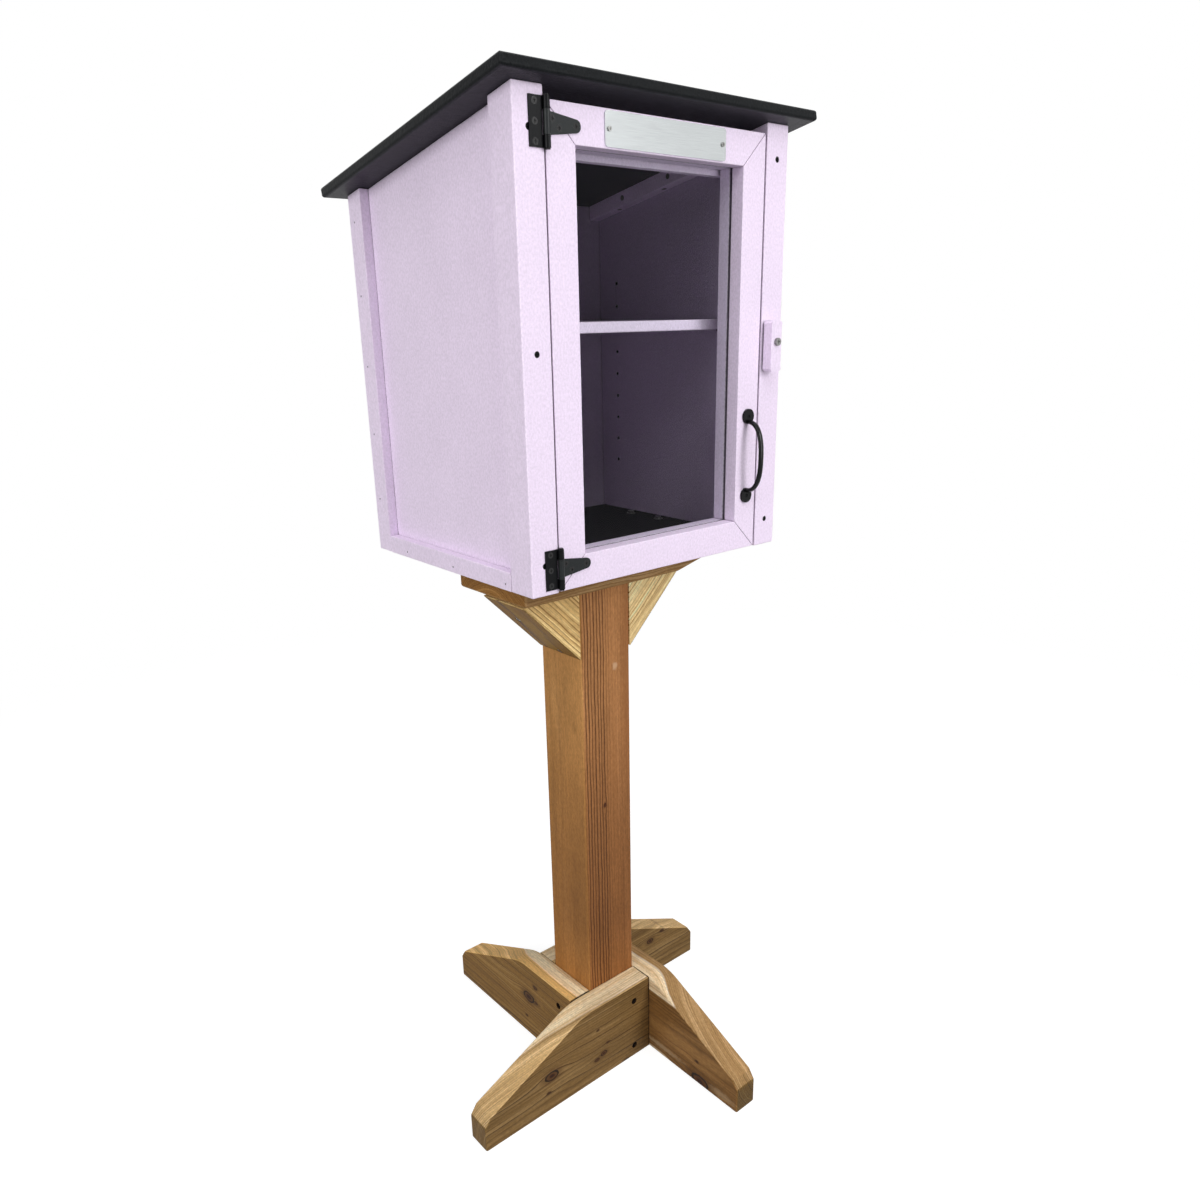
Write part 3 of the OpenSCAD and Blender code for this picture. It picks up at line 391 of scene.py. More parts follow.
class Timber(Shader):
    """A shader laid out by the grain: along it, across it, and through the third direction."""

    def __init__(self, name, along, across, seed):
        super().__init__(name)
        self.seed = seed
        self.mm = self.millimetres()
        self.length = self.along(self.mm, along)
        self.wide = self.along(self.mm, across)
        self.deep = self.along(self.mm, Vector(along).cross(Vector(across)))
        self.local = self.combine(self.wide, self.deep, self.length)
        self.normal = self.facing()

    def figure(self, pattern, output=0):
        """A pattern that follows the grain."""
        return self.pattern(self.local, pattern, self.seed, output)

    def knot_marks(self, knots):
        """Masks of the parts of all knots, and how far the knots push the rings aside and lift them."""
        marks = []
        for knot in knots:
            edges = Pattern(tuple(rate / knot.radius for rate in KNOT_EDGES), shift=knot.along)
            sideways = self.minus(self.wide, knot.across)
            u = self.times(self.minus(self.length, knot.along), KNOT_SHORTENING / knot.radius)
            v = self.times(sideways, 1.0 / knot.radius)
            inner = self.minus(self.distance(u, v), KNOT_RAGGED / 2)
            out = self.times_plus(self.figure(edges), KNOT_RAGGED, inner)
            fade_along = self.times(self.squared(u), KNOT_FADE_ALONG)
            fade_across = self.times(self.squared(v), KNOT_FADE_ACROSS)
            near = self.math("POWER", math.e, self.times(self.plus(fade_along, fade_across), -1.0))
            marks.append(KnotMarks(
                heart=self.ramp(out, KNOT_HEART),
                rim=self.ramp(out, KNOT_RIM),
                fill=self.ramp(out, KNOT_FILL),
                halo=self.ramp(self.times(out, KNOT_HALO_SCALE), KNOT_HALO, "EASE"),
                push=self.times(self.times(sideways, KNOT_PUSH), near),
                lift=self.times(near, KNOT_LIFT * knot.radius),
            ))
        *masks, pushes, lifts = zip(*marks)
        joined = (reduce(self.greater, mask) for mask in masks)
        return KnotMarks(*joined, reduce(self.plus, pushes), reduce(self.plus, lifts))

    def ring_radius(self, pith, ring, warp, drift, marks):
        """The distance from the pith, bent by the grain's drift and by the knots."""
        a, b = (
            self.times_plus(way, 2 * warp, self.minus(place, middle + warp))
            for way, place, middle in zip(drift, (self.wide, self.deep), pith)
        )
        if marks:
            a = self.minus(a, marks.push)
        radius = self.times_plus(self.figure(WOBBLE), WOBBLE_SHARE * ring, self.distance(a, b))
        return self.minus(radius, marks.lift) if marks else radius

    def year_lines(self, radius, ring, contrast, even, calm):
        """The dark line of each year. A few stand out and most are faint."""
        spread = self.noise(self.combine(self.times(radius, YEAR_SPREAD_RATE), self.seed, 0.0))
        phase = self.times_plus(spread, YEAR_SPREAD, self.math("DIVIDE", radius, ring))
        line = self.ramp(self.math("FRACT", phase), YEAR_LINE)
        chance = self.add("ShaderNodeTexWhiteNoise", {"W": self.math("FLOOR", phase)}, noise_dimensions="1D")
        strength = self.times_plus(self.squared(chance), (1 - even) * contrast, even * contrast)
        for part in calm:
            quiet = self.remap(self.along(self.mm, part.axis), part.start, part.end, 1.0, part.least)
            strength = self.times(strength, quiet)
        planed = self.ramp(self.split(self.normal)[2], QUIET_ON_TOP)
        return self.math("MINIMUM", self.times(self.times(line, strength), planed), 1.0)

    def growth_zones(self, radius):
        """Where the timber is pale or dusky, in sheets that follow the rings."""
        across, along = ZONES.scale
        where = self.combine(
            self.times(radius, across), self.times(self.length, along), self.seed + ZONES.shift
        )
        return self.noise(where, ZONES.detail, ZONES.roughness)

    def heartwood(self, zones, lines, streaks, early, late):
        """The colour of the heartwood: its zones, and the lines on them."""
        dusky = tuple(DUSKY_SHARE * a + DUSKY_SHARE * b for a, b in zip(early[:3], late[:3])) + (1.0,)
        colour = self.mix(self.times(self.ramp(zones, PALE_ZONES), streaks), early, toned(early, PALE))
        colour = self.mix(self.times(self.ramp(zones, DUSKY_ZONES), streaks), colour, dusky)
        return self.mix(lines, colour, late)

    def sapwood(self, zones, lines, cream, late):
        """The colour of the sapwood: rosy in some zones, with fainter lines."""
        colour = self.mix(self.ramp(zones, ROSY_ZONES), cream, toned(cream, SAP_ROSY))
        return self.mix(self.times(lines, SAP_LINES), colour, late)

    def in_sap(self, radius, drift, start):
        """1 in the sapwood, which starts at a distance from the pith, and 0 in the heartwood."""
        past = self.times_plus(drift, SAP_DRIFT, self.minus(radius, start + SAP_DRIFT / 2))
        return self.ramp(self.times_plus(past, SAP_SHARPNESS, RAMP_MIDDLE), SAP_EDGE, "EASE")

    def stained(self, colour, stain):
        """The colour with one ragged oval stain on it."""
        u = self.times(self.minus(self.length, stain.along), 1.0 / stain.half_length)
        v = self.times(self.minus(self.wide, stain.across), 1.0 / stain.half_width)
        inner = self.minus(self.distance(u, v), STAIN_RAGGED / 2)
        out = self.times_plus(self.figure(STAIN_EDGES), STAIN_RAGGED, inner)
        mask = self.ramp(out, [(STAIN_CORE, stain.strength), (1.0, 0.0)], "EASE")
        return self.mix(mask, colour, stain.colour)

    def knotted(self, colour, marks, late):
        """The colour with the knots on it."""
        brown = toned(late, KNOT_BROWN)
        colour = self.mix(marks.halo, colour, brown)
        colour = self.mix(marks.fill, colour, brown)
        colour = self.mix(marks.heart, colour, toned(late, KNOT_PURPLE))
        return self.mix(marks.rim, colour, toned(late, KNOT_BLACK))


def wood(
    name, along, across, pith, ring, early, late, seed, sap=None, knots=(), stains=(), calm=(), painted_light_by_facing=(),
    tones=None, warp=4.0, contrast=1.4, even=0.25, streaks=0.9, end=(0.5, 0.5, 0.5), roughness=0.62,
):
    """Sawn timber as a solid pattern of year rings, so that every face and end agrees.

    along is the grain's direction and across a direction square to it. pith is the middle of the rings,
    measured along across and along the third direction, and ring is the width of a year. warp is how far
    the grain drifts, contrast how dark the lines are, even how alike the years are, and streaks how
    strong the pale and dusky zones are. painted_light_by_facing lists (direction, colour) for the faces
    that look that way: painted light and shade, paler or darker by how the face is turned. end is a tint
    for the end grain. sap, knots, stains, calm and tones hold the named tuples above.
    """
    t = Timber(name, along, across, seed)
    *ring_drift, sap_drift = t.split(t.figure(DRIFT, "Color"))
    marks = t.knot_marks(knots) if knots else None
    radius = t.ring_radius(pith, ring, warp, ring_drift, marks)
    lines = t.year_lines(radius, ring, contrast, even, calm)
    zones = t.growth_zones(radius)
    fibres = t.figure(FIBRES)
    grit = t.figure(GRIT)
    pores = t.figure(PORES)

    colour = t.heartwood(zones, lines, streaks, early, late)
    if sap:
        in_sap = t.in_sap(radius, sap_drift, sap.radius)
        colour = t.mix(in_sap, colour, t.sapwood(zones, lines, sap.colour, late))
    # Painted light and shade: faces that look one way are painted paler or darker
    for direction, tint in painted_light_by_facing:
        there = t.ramp(t.along(t.normal, direction), FACES_THERE, "EASE")
        if sap:
            there = t.times(there, t.minus(1.0, in_sap))
        colour = t.mix(there, colour, tint, "MULTIPLY")
    if tones:
        colour = t.tinted(colour, t.ramp(t.math("DIVIDE", t.length, tones.length), tones.stops))

    colour = t.tinted(colour, t.ramp(t.figure(PATCHES), PATCH_TONES))
    colour = t.tinted(colour, t.ramp(fibres, FIBRE_TONES))
    colour = t.tinted(colour, t.ramp(grit, GRIT_TONES))
    flecks = t.times(t.ramp(t.figure(FLECKS), FLECK_SPOTS), FLECK_STRENGTH)
    colour = t.mix(flecks, colour, toned(late, FLECK_DARK))
    for stain in stains:
        colour = t.stained(colour, stain)
    if marks:
        colour = t.knotted(colour, marks, late)

    end_grain = t.ramp(t.math("ABSOLUTE", t.along(t.normal, along)), END_FACE)
    pore_tints = [tuple(factor * c for c in end) + (1.0,) for factor in PORE_FACTORS]
    speckled = t.tinted(colour, t.ramp(pores, list(zip(PORE_PLACES, pore_tints))))
    colour = t.mix(end_grain, colour, speckled)

    # Rounded edges are rubbed: a little paler and smoother
    rubbed = t.times(t.worn(), t.ramp(fibres, WOOD_RUB))
    colour = t.mix(rubbed, colour, toned(early, PALE))

    height = t.plus(t.times(t.plus(fibres, grit), FIBRE_HEIGHT), t.times(lines, LINE_HEIGHT))
    height = t.plus(height, t.times(t.times(pores, end_grain), PORE_HEIGHT))
    t.set(
        Base_Color=colour,
        Roughness=t.times_plus(t.plus(lines, rubbed), -LINE_GLOSS, roughness),
        Normal=t.bump(height, WOOD_DEPTH),
        Specular_IOR_Level=WOOD_SHINE,
    )
    return t.material


# Metal, paint and the pane

METAL_CLOUDS = Pattern((0.35, 0.35, 0.35), 3.0, 0.6)
METAL_PITS = Pattern((1.4, 1.4, 1.4), shift=2)
METAL_TONES = [(0.35, 0.0), (0.65, 1.0)]
METAL_DULL = 0.78
METAL_WEAR = 0.06
METAL_DEPTH = 0.02 * MM

PAINT_PEEL = Pattern((0.55, 0.55, 0.55))
PAINT_DUST = Pattern((1.8, 1.8, 1.8), 3.0, 0.7, 4)
DUST_SPOTS = [(0.5, 0.0), (0.8, 1.0)]
DUST_TONE, DUST_LIFT = 2.2, 0.004
DUST_GLOSS = 0.2

BRUSH_LINES = Pattern((0.03, 1.0, 2.6), 4.0, 0.7, 2)
BRUSH_SMEARS = Pattern((0.012, 0.1, 0.05), shift=5)
BRUSH_DULL = 0.88
BRUSH_GLOSS, BRUSH_ROUGHNESS = 0.08, 0.12
BRUSH_DEPTH = 0.015 * MM

PANE_SHINE = 0.15
PANE_TINT = (0.94, 0.95, 0.95, 1.0)
PANE_ROUGHNESS = 0.015
PANE_IOR = 1.49


def metal(name, colour, roughness):
    """Plain metal with a faint cloudiness."""
    s = Shader(name)
    mm = s.millimetres()
    clouds = s.pattern(mm, METAL_CLOUDS)
    s.set(
        Base_Color=s.mix(s.ramp(clouds, METAL_TONES), toned(colour, METAL_DULL), colour),
        Roughness=s.times_plus(clouds, 2 * METAL_WEAR, roughness - METAL_WEAR),
        Normal=s.bump(s.pattern(mm, METAL_PITS), METAL_DEPTH),
        Metallic=1.0,
    )
    return s.material


def black_paint(name, colour, roughness, peel, shine=0.3, seed=0.0):
    """Black paint with dust in it and a soft orange peel, peel millimetres deep."""
    s = Shader(name)
    mm = s.millimetres()
    dust = s.pattern(mm, PAINT_DUST, seed)
    s.set(
        Base_Color=s.mix(s.ramp(dust, DUST_SPOTS), colour, toned(colour, DUST_TONE, DUST_LIFT)),
        Roughness=s.times_plus(dust, DUST_GLOSS, roughness - DUST_GLOSS / 2),
        Normal=s.bump(s.pattern(mm, PAINT_PEEL, seed), peel * MM),
        Specular_IOR_Level=shine,
    )
    return s.material


def brushed_sheet(name, colour):
    """Aluminium sheet, brushed lengthwise."""
    s = Shader(name)
    mm = s.millimetres()
    lines = s.pattern(mm, BRUSH_LINES)
    smears = s.pattern(mm, BRUSH_SMEARS)
    rough = s.times_plus(lines, BRUSH_GLOSS, BRUSH_ROUGHNESS)
    s.set(
        Base_Color=s.mix(s.ramp(lines, METAL_TONES), toned(colour, BRUSH_DULL), colour),
        Roughness=s.times_plus(smears, BRUSH_GLOSS, rough),
        Normal=s.bump(lines, BRUSH_DEPTH),
        Metallic=1.0,
    )
    return s.material


def clear_sheet(name):
    """Clear acrylic. Each ray is reflected once, by the face that it meets from outside."""
    s = Shader(name)
    s.tree.nodes.remove(s.surface)
    see = s.add("ShaderNodeBsdfTransparent", {"Color": PANE_TINT})
    shine = s.add("ShaderNodeBsdfGlossy", {"Color": WHITE, "Roughness": PANE_ROUGHNESS})
    behind = s.add("ShaderNodeNewGeometry", output="Backfacing")
    outside = s.times_plus(behind, -PANE_SHINE, PANE_SHINE)
    reflect = s.times(s.add("ShaderNodeFresnel", {"IOR": PANE_IOR}), outside)
    s.put(s.output.inputs["Surface"], s.mix_shaders(reflect, see, shine))
    return s.material


# Finishes

LILAC = srgb(240, 224, 246)
CREAM = srgb(255, 234, 196)
LEG_EARLY = srgb(132, 102, 60)
LEG_LATE = srgb(66, 42, 16)
# Painted light: the legs' top faces are painted paler than their sides
LEG_TOP_PAINTED_LIGHT = [(Z, (2.85, 3.25, 4.3, 1.0))]
BROWN_TOP_PAINTED_LIGHT = [(Z, (1.7, 2.08, 2.95, 1.0))]
LEG_END = (0.85, 0.85, 0.85)
SCUFF = srgb(206, 168, 132)
RUDDY = srgb(140, 88, 50)
STREAK = srgb(178, 150, 114)
# Painted shade: a dark line along the joints where the legs meet
JOINT_PAINTED_SHADE = srgb(34, 20, 9)
# Painted shade: the front leg is a little darker towards the leg that it meets
FRONT_PAINTED_SHADE = Tones(100, [(0.0, (0.93, 0.92, 0.91, 1)), (0.45, (0.84, 0.81, 0.77, 1))])
# The post is darker towards its foot, and warm again at the very bottom
POST_TONES = Tones(800, [
    (0.0, (0.85, 0.76, 0.62, 1)), (0.2, (0.76, 0.67, 0.56, 1)), (0.29, (0.62, 0.55, 0.48, 1)),
    (0.42, (0.66, 0.6, 0.54, 1)), (0.6, (0.84, 0.8, 0.76, 1)), (0.77, (1.0, 1.0, 1.0, 1)),
])

MATERIALS = {
    "cabinet_board": composite("lilac_board", LILAC),
    # The roof's underside is painted paler than its black top and edges: painted light from below
    "roof_board": composite(
        "charcoal_board", srgb(5, 8, 11), peel=2.0, mottle=0.3, speck=0.004, roughness=0.38, shine=0.08,
        seed=7.0, painted_underside=srgb(47, 46, 53)),
    "floor_board": composite(
        "black_board", srgb(12, 12, 14), mottle=0.3, speck=0.006, roughness=0.55, shine=0.06, seed=9.0),
    "pane_clear": clear_sheet("clear_acrylic"),
    "black_steel": black_paint("black_steel", srgb(11, 12, 14), roughness=0.3, peel=0.03, shine=0.1),
    "handle_black": black_paint(
        "handle_gloss", srgb(5, 6, 7), roughness=0.2, peel=0.02, shine=0.16, seed=2.0),
    "zinc_steel": metal("zinc_plate", srgb(150, 150, 148), roughness=0.36),
    "sign_metal": brushed_sheet("brushed_aluminium", srgb(206, 210, 211)),
    "pin_plastic": black_paint("pin_plastic", srgb(24, 24, 26), roughness=0.45, peel=0.02, seed=5.0),
}
STRAP = black_paint("strap_steel", srgb(30, 33, 34), roughness=0.32, peel=0.05, shine=0.16, seed=3.0)
SCREW = black_paint("screw_steel", srgb(12, 12, 13), roughness=0.2, peel=0.02, shine=0.4, seed=4.0)
# Nodes whose finish differs from that of their slot
OWN_FINISH = {
    "hinge_strap_top": STRAP, "hinge_strap_bottom": STRAP, "leaf_screws": SCREW, "strap_screws": SCREW,
}
# Painted shade: the panels' inner faces are painted a darker, duller lilac than their outsides
INSIDE_PAINTED_SHADE = composite("inside_board_painted_shade", srgb(194, 179, 202), seed=13.0)
# Painted shade: the walls of the drilled pin holes are painted dark
BORE_PAINTED_SHADE = composite("bore_painted_shade_board", srgb(70, 60, 75), seed=11.0)
# Painted shade: the walls of the screw holes in the timber are painted dark
BORE_PAINTED_SHADE_TIMBER = wood(
    "bore_painted_shade_timber", Z, X, pith=(0, 300), ring=3.0, early=srgb(58, 40, 24), late=srgb(34, 20, 10), seed=12.0)

# The braces' grain runs along their slopes
LEFT_SLOPE, LEFT_RISE = Vector((1, 0, -1)).normalized(), Vector((1, 0, 1)).normalized()
RIGHT_SLOPE, RIGHT_RISE = Vector((-1, 0, -1)).normalized(), Vector((-1, 0, 1)).normalized()

WOOD = {
    "post": wood(
        "post_timber", Z, X, pith=(-190, -20), ring=5.2, early=srgb(177, 123, 76), late=srgb(66, 34, 14),
        seed=1.0, knots=[Knot(438, -7, 2.4)], calm=[Calm(X, -10, 8, 0.16), Calm(X, -40.5, -43.5, 0.12)],
        stains=[Stain(649, 16, 9, 6, SCUFF, 0.8), Stain(640, 42, 260, 22, RUDDY, 0.55)],
        # Painted light: the post's left face is painted paler
        tones=POST_TONES, painted_light_by_facing=[(-X, (1.22, 1.34, 1.2, 1.0))], warp=2.0, contrast=1.7, even=0.6,
        streaks=0.25),
    "mounting_plate": wood(
        "plate_timber", X, Y, pith=(26, 700), ring=3.4, early=srgb(164, 127, 82), late=srgb(108, 72, 38),
        seed=2.0, warp=9.0, end=(0.88, 0.74, 0.5), roughness=0.75),
    "brace_left": wood(
        "brace_timber_left", LEFT_SLOPE, LEFT_RISE, pith=(-420, 120), ring=5.4,
        early=srgb(224, 186, 122), late=srgb(126, 78, 34), seed=3.0, knots=[Knot(-532, -470, 11)],
        # Painted shade: the brace's faces that look down are painted darker
        painted_light_by_facing=[(-Z, (0.29, 0.215, 0.085, 1.0))], warp=5.0),
    "brace_right": wood(
        "brace_timber_right", RIGHT_SLOPE, RIGHT_RISE, pith=(-420, -130), ring=5.2,
        early=srgb(248, 218, 158), late=srgb(166, 116, 58), seed=4.0, warp=5.0),
    "leg_front": wood(
        "leg_timber_front", X, Z, pith=(-25, 232), ring=3.0, early=LEG_EARLY, late=LEG_LATE, seed=5.0,
        sap=Sap(221, CREAM), painted_light_by_facing=LEG_TOP_PAINTED_LIGHT, tones=FRONT_PAINTED_SHADE, end=LEG_END,
        knots=[
            Knot(-151, 60.7, 8.5), Knot(-51, 42.1, 4.2), Knot(-65, 37.4, 3.2), Knot(-158, 33.7, 2.2),
            Knot(-6, 0, 5), Knot(-61.8, 90.8, 1.8), Knot(-42.5, 57.9, 1.8),
        ],
        stains=[Stain(44, 66, 2, 400, JOINT_PAINTED_SHADE, 0.9)]),
    "leg_right": wood(
        "leg_timber_right", Y, Z, pith=(56, 120), ring=3.0, early=srgb(134, 95, 51), late=LEG_LATE,
        seed=6.0, sap=Sap(93, srgb(246, 222, 184)), painted_light_by_facing=BROWN_TOP_PAINTED_LIGHT, end=(0.55, 0.64, 0.6),
        knots=[Knot(-195, 6, 12), Knot(-188, 39, 2.4)],
        stains=[Stain(-112, 17, 64, 6, STREAK, 0.6), Stain(-238, 12, 36, 9, STREAK, 0.5)]),
    "leg_left": wood(
        "leg_timber_left", Y, Z, pith=(-30, -200), ring=3.0, early=srgb(146, 109, 58), late=LEG_LATE,
        seed=7.0, sap=Sap(212, CREAM), painted_light_by_facing=LEG_TOP_PAINTED_LIGHT, end=LEG_END,
        knots=[Knot(66, 73.5, 9.5), Knot(48, 101.8, 3.6), Knot(74.5, 32.7, 2.2), Knot(47, 73, 3)],
        stains=[Stain(-44, 66, 2, 400, JOINT_PAINTED_SHADE, 0.9)]),
    "leg_back": wood(
        "leg_timber_back", X, Z, pith=(-20, 60), ring=3.4, early=LEG_EARLY, late=LEG_LATE, seed=8.0,
        sap=Sap(190, CREAM), painted_light_by_facing=LEG_TOP_PAINTED_LIGHT, knots=[Knot(166, 70.4, 5), Knot(195, 79, 3)]),
}


# Pieces

WELD = 0.002 * MM
FLAT_ANGLE = math.radians(0.8)
SHARP_ANGLE = math.radians(24)
CREASE_ANGLE = math.radians(38)
ROUND_PROFILE = 0.5
LONG_EDGE = 9 * MM
PLANE_SLACK = 0.05 * MM
# Larger faces are not the walls of screw holes or pin holes
BORE_FACE = 22 * MM * MM
SAME_WAY = 0.9


def unify(mesh):
    """Joins the mesh's split points and merges its flat triangles into whole faces."""
    bmesh.ops.remove_doubles(mesh, verts=mesh.verts, dist=WELD)
    bmesh.ops.dissolve_limit(
        mesh, angle_limit=FLAT_ANGLE, verts=mesh.verts, edges=mesh.edges, use_dissolve_boundaries=False
    )


def shorten(mesh, seam):
    """Draws both ends of a board in along its longest side."""
    spans = [[f(v.co[axis] for v in mesh.verts) for f in (min, max)] for axis in range(3)]
    axis = max(range(3), key=lambda i: spans[i][1] - spans[i][0])
    lowest, highest = spans[axis]
    middle = (lowest + highest) / 2
    factor = 1 - 2 * seam / (highest - lowest)
    for vertex in mesh.verts:
        vertex.co[axis] = middle + (vertex.co[axis] - middle) * factor


def eased(node, width, segments=3, least=LONG_EDGE, skip=None, seam=0.0):
    """A copy of a CAD node whose sharp edges are rounded over. It stands for the node.

    Edges no longer than least stay sharp, and so do those for which skip is true. seam is how much
    shorter each end is, which leaves a hairline at the joint.
    """
    data = NODES[node].data.copy()
    data.name = "eased_" + node
    mesh = bmesh.new()
    mesh.from_mesh(data)
    unify(mesh)
    if seam:
        shorten(mesh, seam)
    sharp = [
        e for e in mesh.edges
        if len(e.link_faces) == 2
        and e.calc_face_angle(0) > SHARP_ANGLE
        and e.calc_length() > least
        and not (skip and skip(e))
    ]
    made = bmesh.ops.bevel(
        mesh, geom=sharp, offset=width, segments=segments, profile=ROUND_PROFILE, affect="EDGES",
        clamp_overlap=False,
    )
    rounded = set(made["faces"])
    edge = mesh.verts.layers.float.new(EDGE)
    for vertex in mesh.verts:
        vertex[edge] = float(all(face in rounded for face in vertex.link_faces))
    for face in mesh.faces:
        face.smooth = True
    mesh.to_mesh(data)
    mesh.free()
    data.set_sharp_from_angle(angle=CREASE_ANGLE)
    piece = bpy.data.objects.new("eased_" + node, data)
    bpy.context.scene.collection.objects.link(piece)
    smooth = piece.modifiers.new("even_faces", "WEIGHTED_NORMAL")
    smooth.keep_sharp = True
    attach(piece, body_of_node(node))
    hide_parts(node)
    return piece


def dress(piece, material):
    """Gives every face of the piece one material."""
    piece.data.materials.clear()
    piece.data.materials.append(material)


def paint_bore_shade(timber):
    """Paints shade on the walls of the timber's screw holes: a dark finish."""
    bored = len(timber.data.materials)
    timber.data.materials.append(BORE_PAINTED_SHADE_TIMBER)
    rounded = timber.data.attributes[EDGE].data
    for face in timber.data.polygons:
        if face.area < BORE_FACE and not any(rounded[v].value for v in face.vertices):
            face.material_index = bored


def paint_inside_shade(panel, direction):
    """Paints shade on the panel: its inner face a darker lilac, and the walls of its drilled holes dark."""
    inside = len(panel.data.materials)
    bored = inside + 1
    panel.data.materials.append(INSIDE_PAINTED_SHADE)
    panel.data.materials.append(BORE_PAINTED_SHADE)
    for face in panel.data.polygons:
        if face.area < BORE_FACE:
            face.material_index = bored
        elif face.normal.dot(direction) > SAME_WAY:
            face.material_index = inside


def in_end_plane(node, axis, side):
    """A test that is true for edges in the plane of one end of the node's box, across axis."""
    lowest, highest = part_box(node)
    limit = (highest if side > 0 else lowest)[axis]
    return lambda e: all(abs(v.co[axis] - limit) < PLANE_SLACK for v in e.verts)


BOARDS = [
    "side_panel_left", "side_panel_right", "back_panel", "corner_post_left", "corner_post_right", "shelf",
]
BOARD_ROUNDING = 1.6 * MM
BOARD_SEGMENTS = 4
for node in BOARDS:
    dress(eased(node, BOARD_ROUNDING, BOARD_SEGMENTS), MATERIALS["cabinet_board"])

TRIM = [
    "back_stile_left", "back_stile_right", "side_rail_left", "side_rail_right", "back_rail",
    "front_header", "front_sill", "roof_cleat_left", "roof_cleat_right",
    "door_stile_left", "door_stile_right", "door_rail_top", "door_rail_bottom",
]
TRIM_ROUNDING = 1.0 * MM
TRIM_SEAM = 0.4 * MM
for node in TRIM:
    dress(eased(node, TRIM_ROUNDING, seam=TRIM_SEAM), MATERIALS["cabinet_board"])

# The side of each board that looks into the cabinet
INNER_SIDES = {"side_panel_left": X, "side_panel_right": -X, "back_panel": -Y, "shelf": Z}
# Painted shade: the inner faces turn darker and the pin holes dark
for node, inwards in INNER_SIDES.items():
    paint_inside_shade(bpy.data.objects["eased_" + node], inwards)

SHORT_EDGE = 2 * MM
BUTTON_ROUNDING = 1.2 * MM
dress(eased("turn_button", BUTTON_ROUNDING, least=SHORT_EDGE), MATERIALS["cabinet_board"])

# A leg's cut inner end stays sharp: the axis of the grain, and the side that end is on
LEG_ENDS = {"leg_front": (0, 1), "leg_right": (1, 1), "leg_back": (0, -1), "leg_left": (1, -1)}
LEG_ROUNDING = 2.4 * MM
for node, (axis, side) in LEG_ENDS.items():
    leg = eased(node, LEG_ROUNDING, least=SHORT_EDGE, skip=in_end_plane(node, axis, side))
    dress(leg, WOOD[node])

POST_ROUNDING = 0.5 * MM
POST_EDGE = 200 * MM
PLATE_ROUNDING = 4.0 * MM
BRACES = ("brace_left", "brace_right")
BRACE_ROUNDING = 1.2 * MM
dress(eased("post", POST_ROUNDING, least=POST_EDGE), WOOD["post"])
dress(eased("mounting_plate", PLATE_ROUNDING), WOOD["mounting_plate"])
for node in BRACES:
    dress(eased(node, BRACE_ROUNDING), WOOD[node])
# Painted shade in the screw holes of the timber
for node in (*LEG_ENDS, *BRACES):
    paint_bore_shade(bpy.data.objects["eased_" + node])

shown = [node for node in NODES if not NODES[node].hide_render]
for node in shown:
    dress(NODES[node], OWN_FINISH.get(node) or MATERIALS[slot_of_node(node)])


# Stage, light and camera

# Sizes and places are in metres
FLOOR_SIZE = 60
FLOOR_GREY = (0.35, 0.35, 0.35, 1.0)
FLOOR_LIFT = 0.82
FLOOR_FADE = (1.1, 2.4)
FAR_LIGHT = 0.2
WORLD_LIGHT = 0.13

# The power is in watts
Lamp = namedtuple("Lamp", "name place target size power")
LAMPS = [
    Lamp("key", (1.1, -3.3, 2.3), (0, 0, 0.95), 1.4, 54),
    Lamp("side", (-3.3, -0.4, 1.7), (0, 0, 0.9), 2.0, 58),
    Lamp("high", (-0.9, -2.2, 3.8), (0, 0, 0.6), 2.2, 38),
    Lamp("top", (0.2, 0.0, 3.9), (0, 0, 0.5), 2.4, 62),
    Lamp("low", (0.5, -3.4, 1.0), (0, 0, 1.0), 1.2, 26),
]

CAMERA_PLACE = Vector((-812.41, -997.50, 1114.70)) * MM
# In degrees
CAMERA_YAW, CAMERA_PITCH, CAMERA_ROLL = 40.50, -18.71, -1.02
IMAGE_PIXELS = 1200
FOCAL_PIXELS = 957.27
CENTRE_PIXELS = (606.54, 640.36)
SENSOR_WIDTH = 36
CLIP_START, CLIP_END = 0.05, 200


def seen_directly(nodes):
    """1 for the rays of the camera, of reflections and of what is seen through the pane, else 0."""
    path = nodes.tree.nodes.new("ShaderNodeLightPath")
    rays = (path.outputs[name] for name in ("Is Camera Ray", "Is Glossy Ray", "Is Transmission Ray"))
    return reduce(nodes.greater, rays)


def floor():
    """A pale floor that keeps the object's shadow and runs out into the white surround."""
    bpy.ops.mesh.primitive_plane_add(size=FLOOR_SIZE, location=(0, 0, 0))
    plane = bpy.context.active_object
    plane.name = "floor"
    s = Shader("pale_floor")
    s.tree.nodes.remove(s.surface)
    seen = seen_directly(s)
    matte = s.add("ShaderNodeBsdfDiffuse", {"Color": FLOOR_GREY})
    lift = s.add("ShaderNodeEmission", {"Color": WHITE, "Strength": s.times(seen, FLOOR_LIFT)})
    near = s.add("ShaderNodeAddShader", {0: matte, 1: lift})
    far_strength = s.times_plus(seen, 1 - FAR_LIGHT, FAR_LIGHT)
    far = s.add("ShaderNodeEmission", {"Color": WHITE, "Strength": far_strength})
    out = s.remap(s.vector("LENGTH", s.place()), *FLOOR_FADE)
    s.put(s.output.inputs["Surface"], s.mix_shaders(out, near, far))
    dress(plane, s.material)


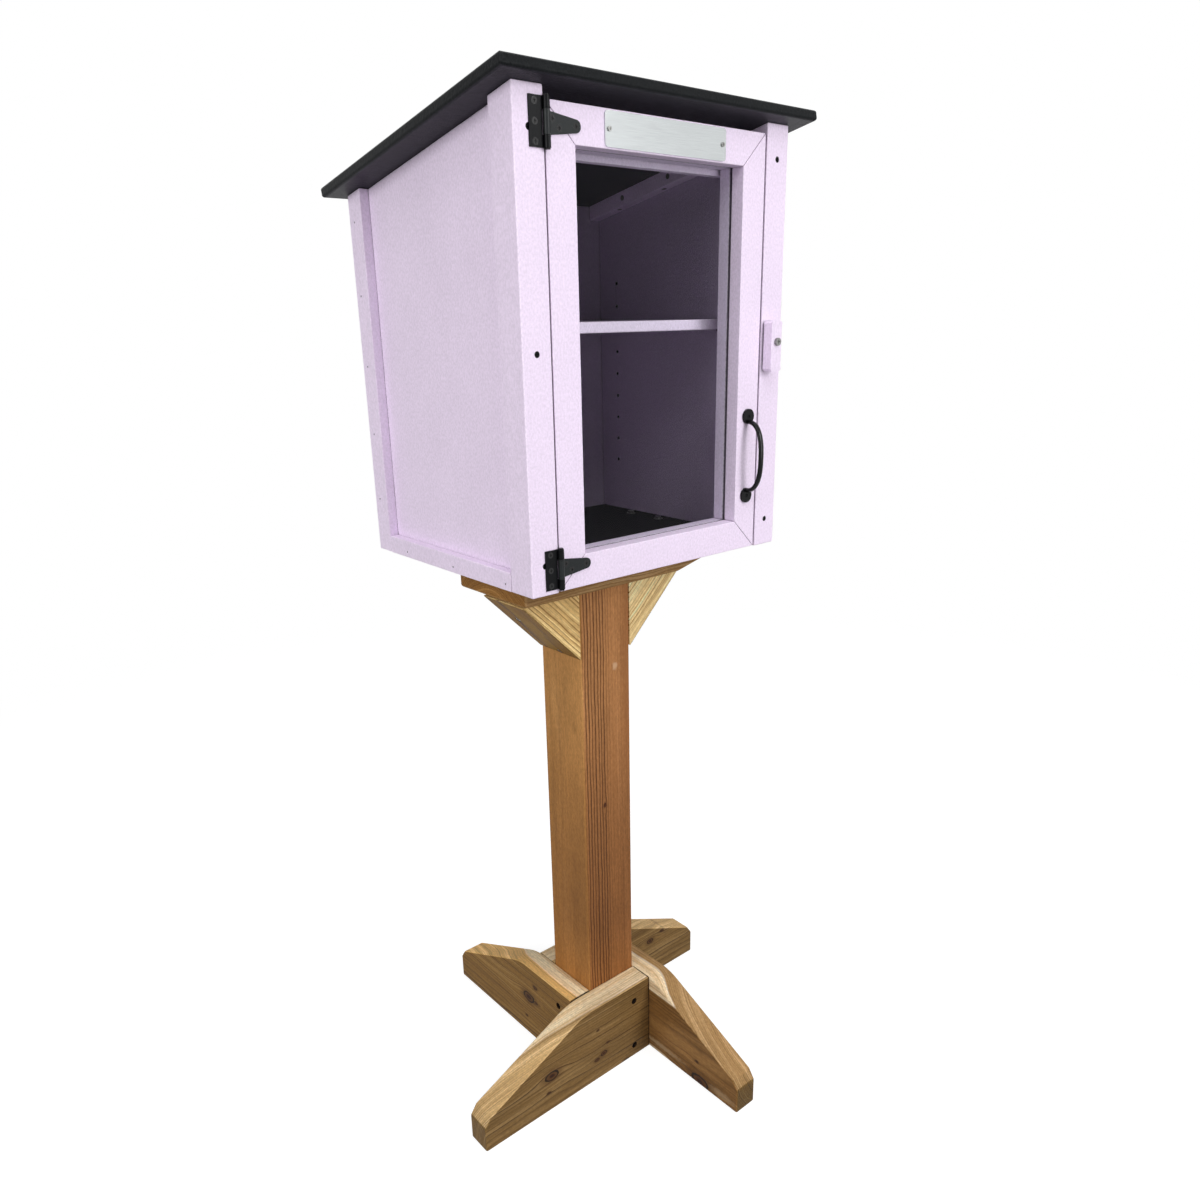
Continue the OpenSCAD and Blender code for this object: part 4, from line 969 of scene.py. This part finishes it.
def world():
    """A white surround to look at, which lights the object more gently than it shows."""
    surround = bpy.data.worlds.new("surround")
    bpy.context.scene.world = surround
    surround.use_nodes = True
    nodes = Nodes(surround.node_tree)
    background = nodes.tree.nodes["Background"]
    nodes.put(background.inputs["Color"], WHITE)
    strength = nodes.times_plus(seen_directly(nodes), 1 - WORLD_LIGHT, WORLD_LIGHT)
    nodes.put(background.inputs["Strength"], strength)


def hang(lamp):
    """Adds a round, soft lamp that points at its target."""
    light = bpy.data.lights.new(lamp.name, "AREA")
    light.shape = "DISK"
    light.size = lamp.size
    light.energy = lamp.power
    hung = bpy.data.objects.new(lamp.name, light)
    hung.location = lamp.place
    hung.rotation_euler = (Vector(lamp.target) - Vector(lamp.place)).to_track_quat("-Z", "Y").to_euler()
    bpy.context.scene.collection.objects.link(hung)


def camera():
    """The photograph's view, fitted to the corners of the post, legs and cabinet."""
    yaw, pitch, roll = (math.radians(v) for v in (CAMERA_YAW, CAMERA_PITCH, CAMERA_ROLL))
    centre_x, centre_y = CENTRE_PIXELS
    forward = Vector((math.sin(yaw) * math.cos(pitch), math.cos(yaw) * math.cos(pitch), math.sin(pitch)))
    right = Vector((math.cos(yaw), -math.sin(yaw), 0))
    up = right.cross(forward)
    tilted_right = math.cos(roll) * right + math.sin(roll) * up
    tilted_up = math.cos(roll) * up - math.sin(roll) * right
    data = bpy.data.cameras.new("camera")
    data.sensor_width = SENSOR_WIDTH
    data.lens = SENSOR_WIDTH * FOCAL_PIXELS / IMAGE_PIXELS
    data.shift_x = (IMAGE_PIXELS / 2 - centre_x) / IMAGE_PIXELS
    data.shift_y = (centre_y - IMAGE_PIXELS / 2) / IMAGE_PIXELS
    data.clip_start = CLIP_START
    data.clip_end = CLIP_END
    eye = bpy.data.objects.new("camera", data)
    turn = Matrix((tilted_right, tilted_up, -forward)).transposed()
    eye.matrix_world = Matrix.Translation(CAMERA_PLACE) @ turn.to_4x4()
    bpy.context.scene.collection.objects.link(eye)
    bpy.context.scene.camera = eye


floor()
world()
for lamp in LAMPS:
    hang(lamp)
camera()
bpy.context.scene.view_settings.view_transform = "Standard"
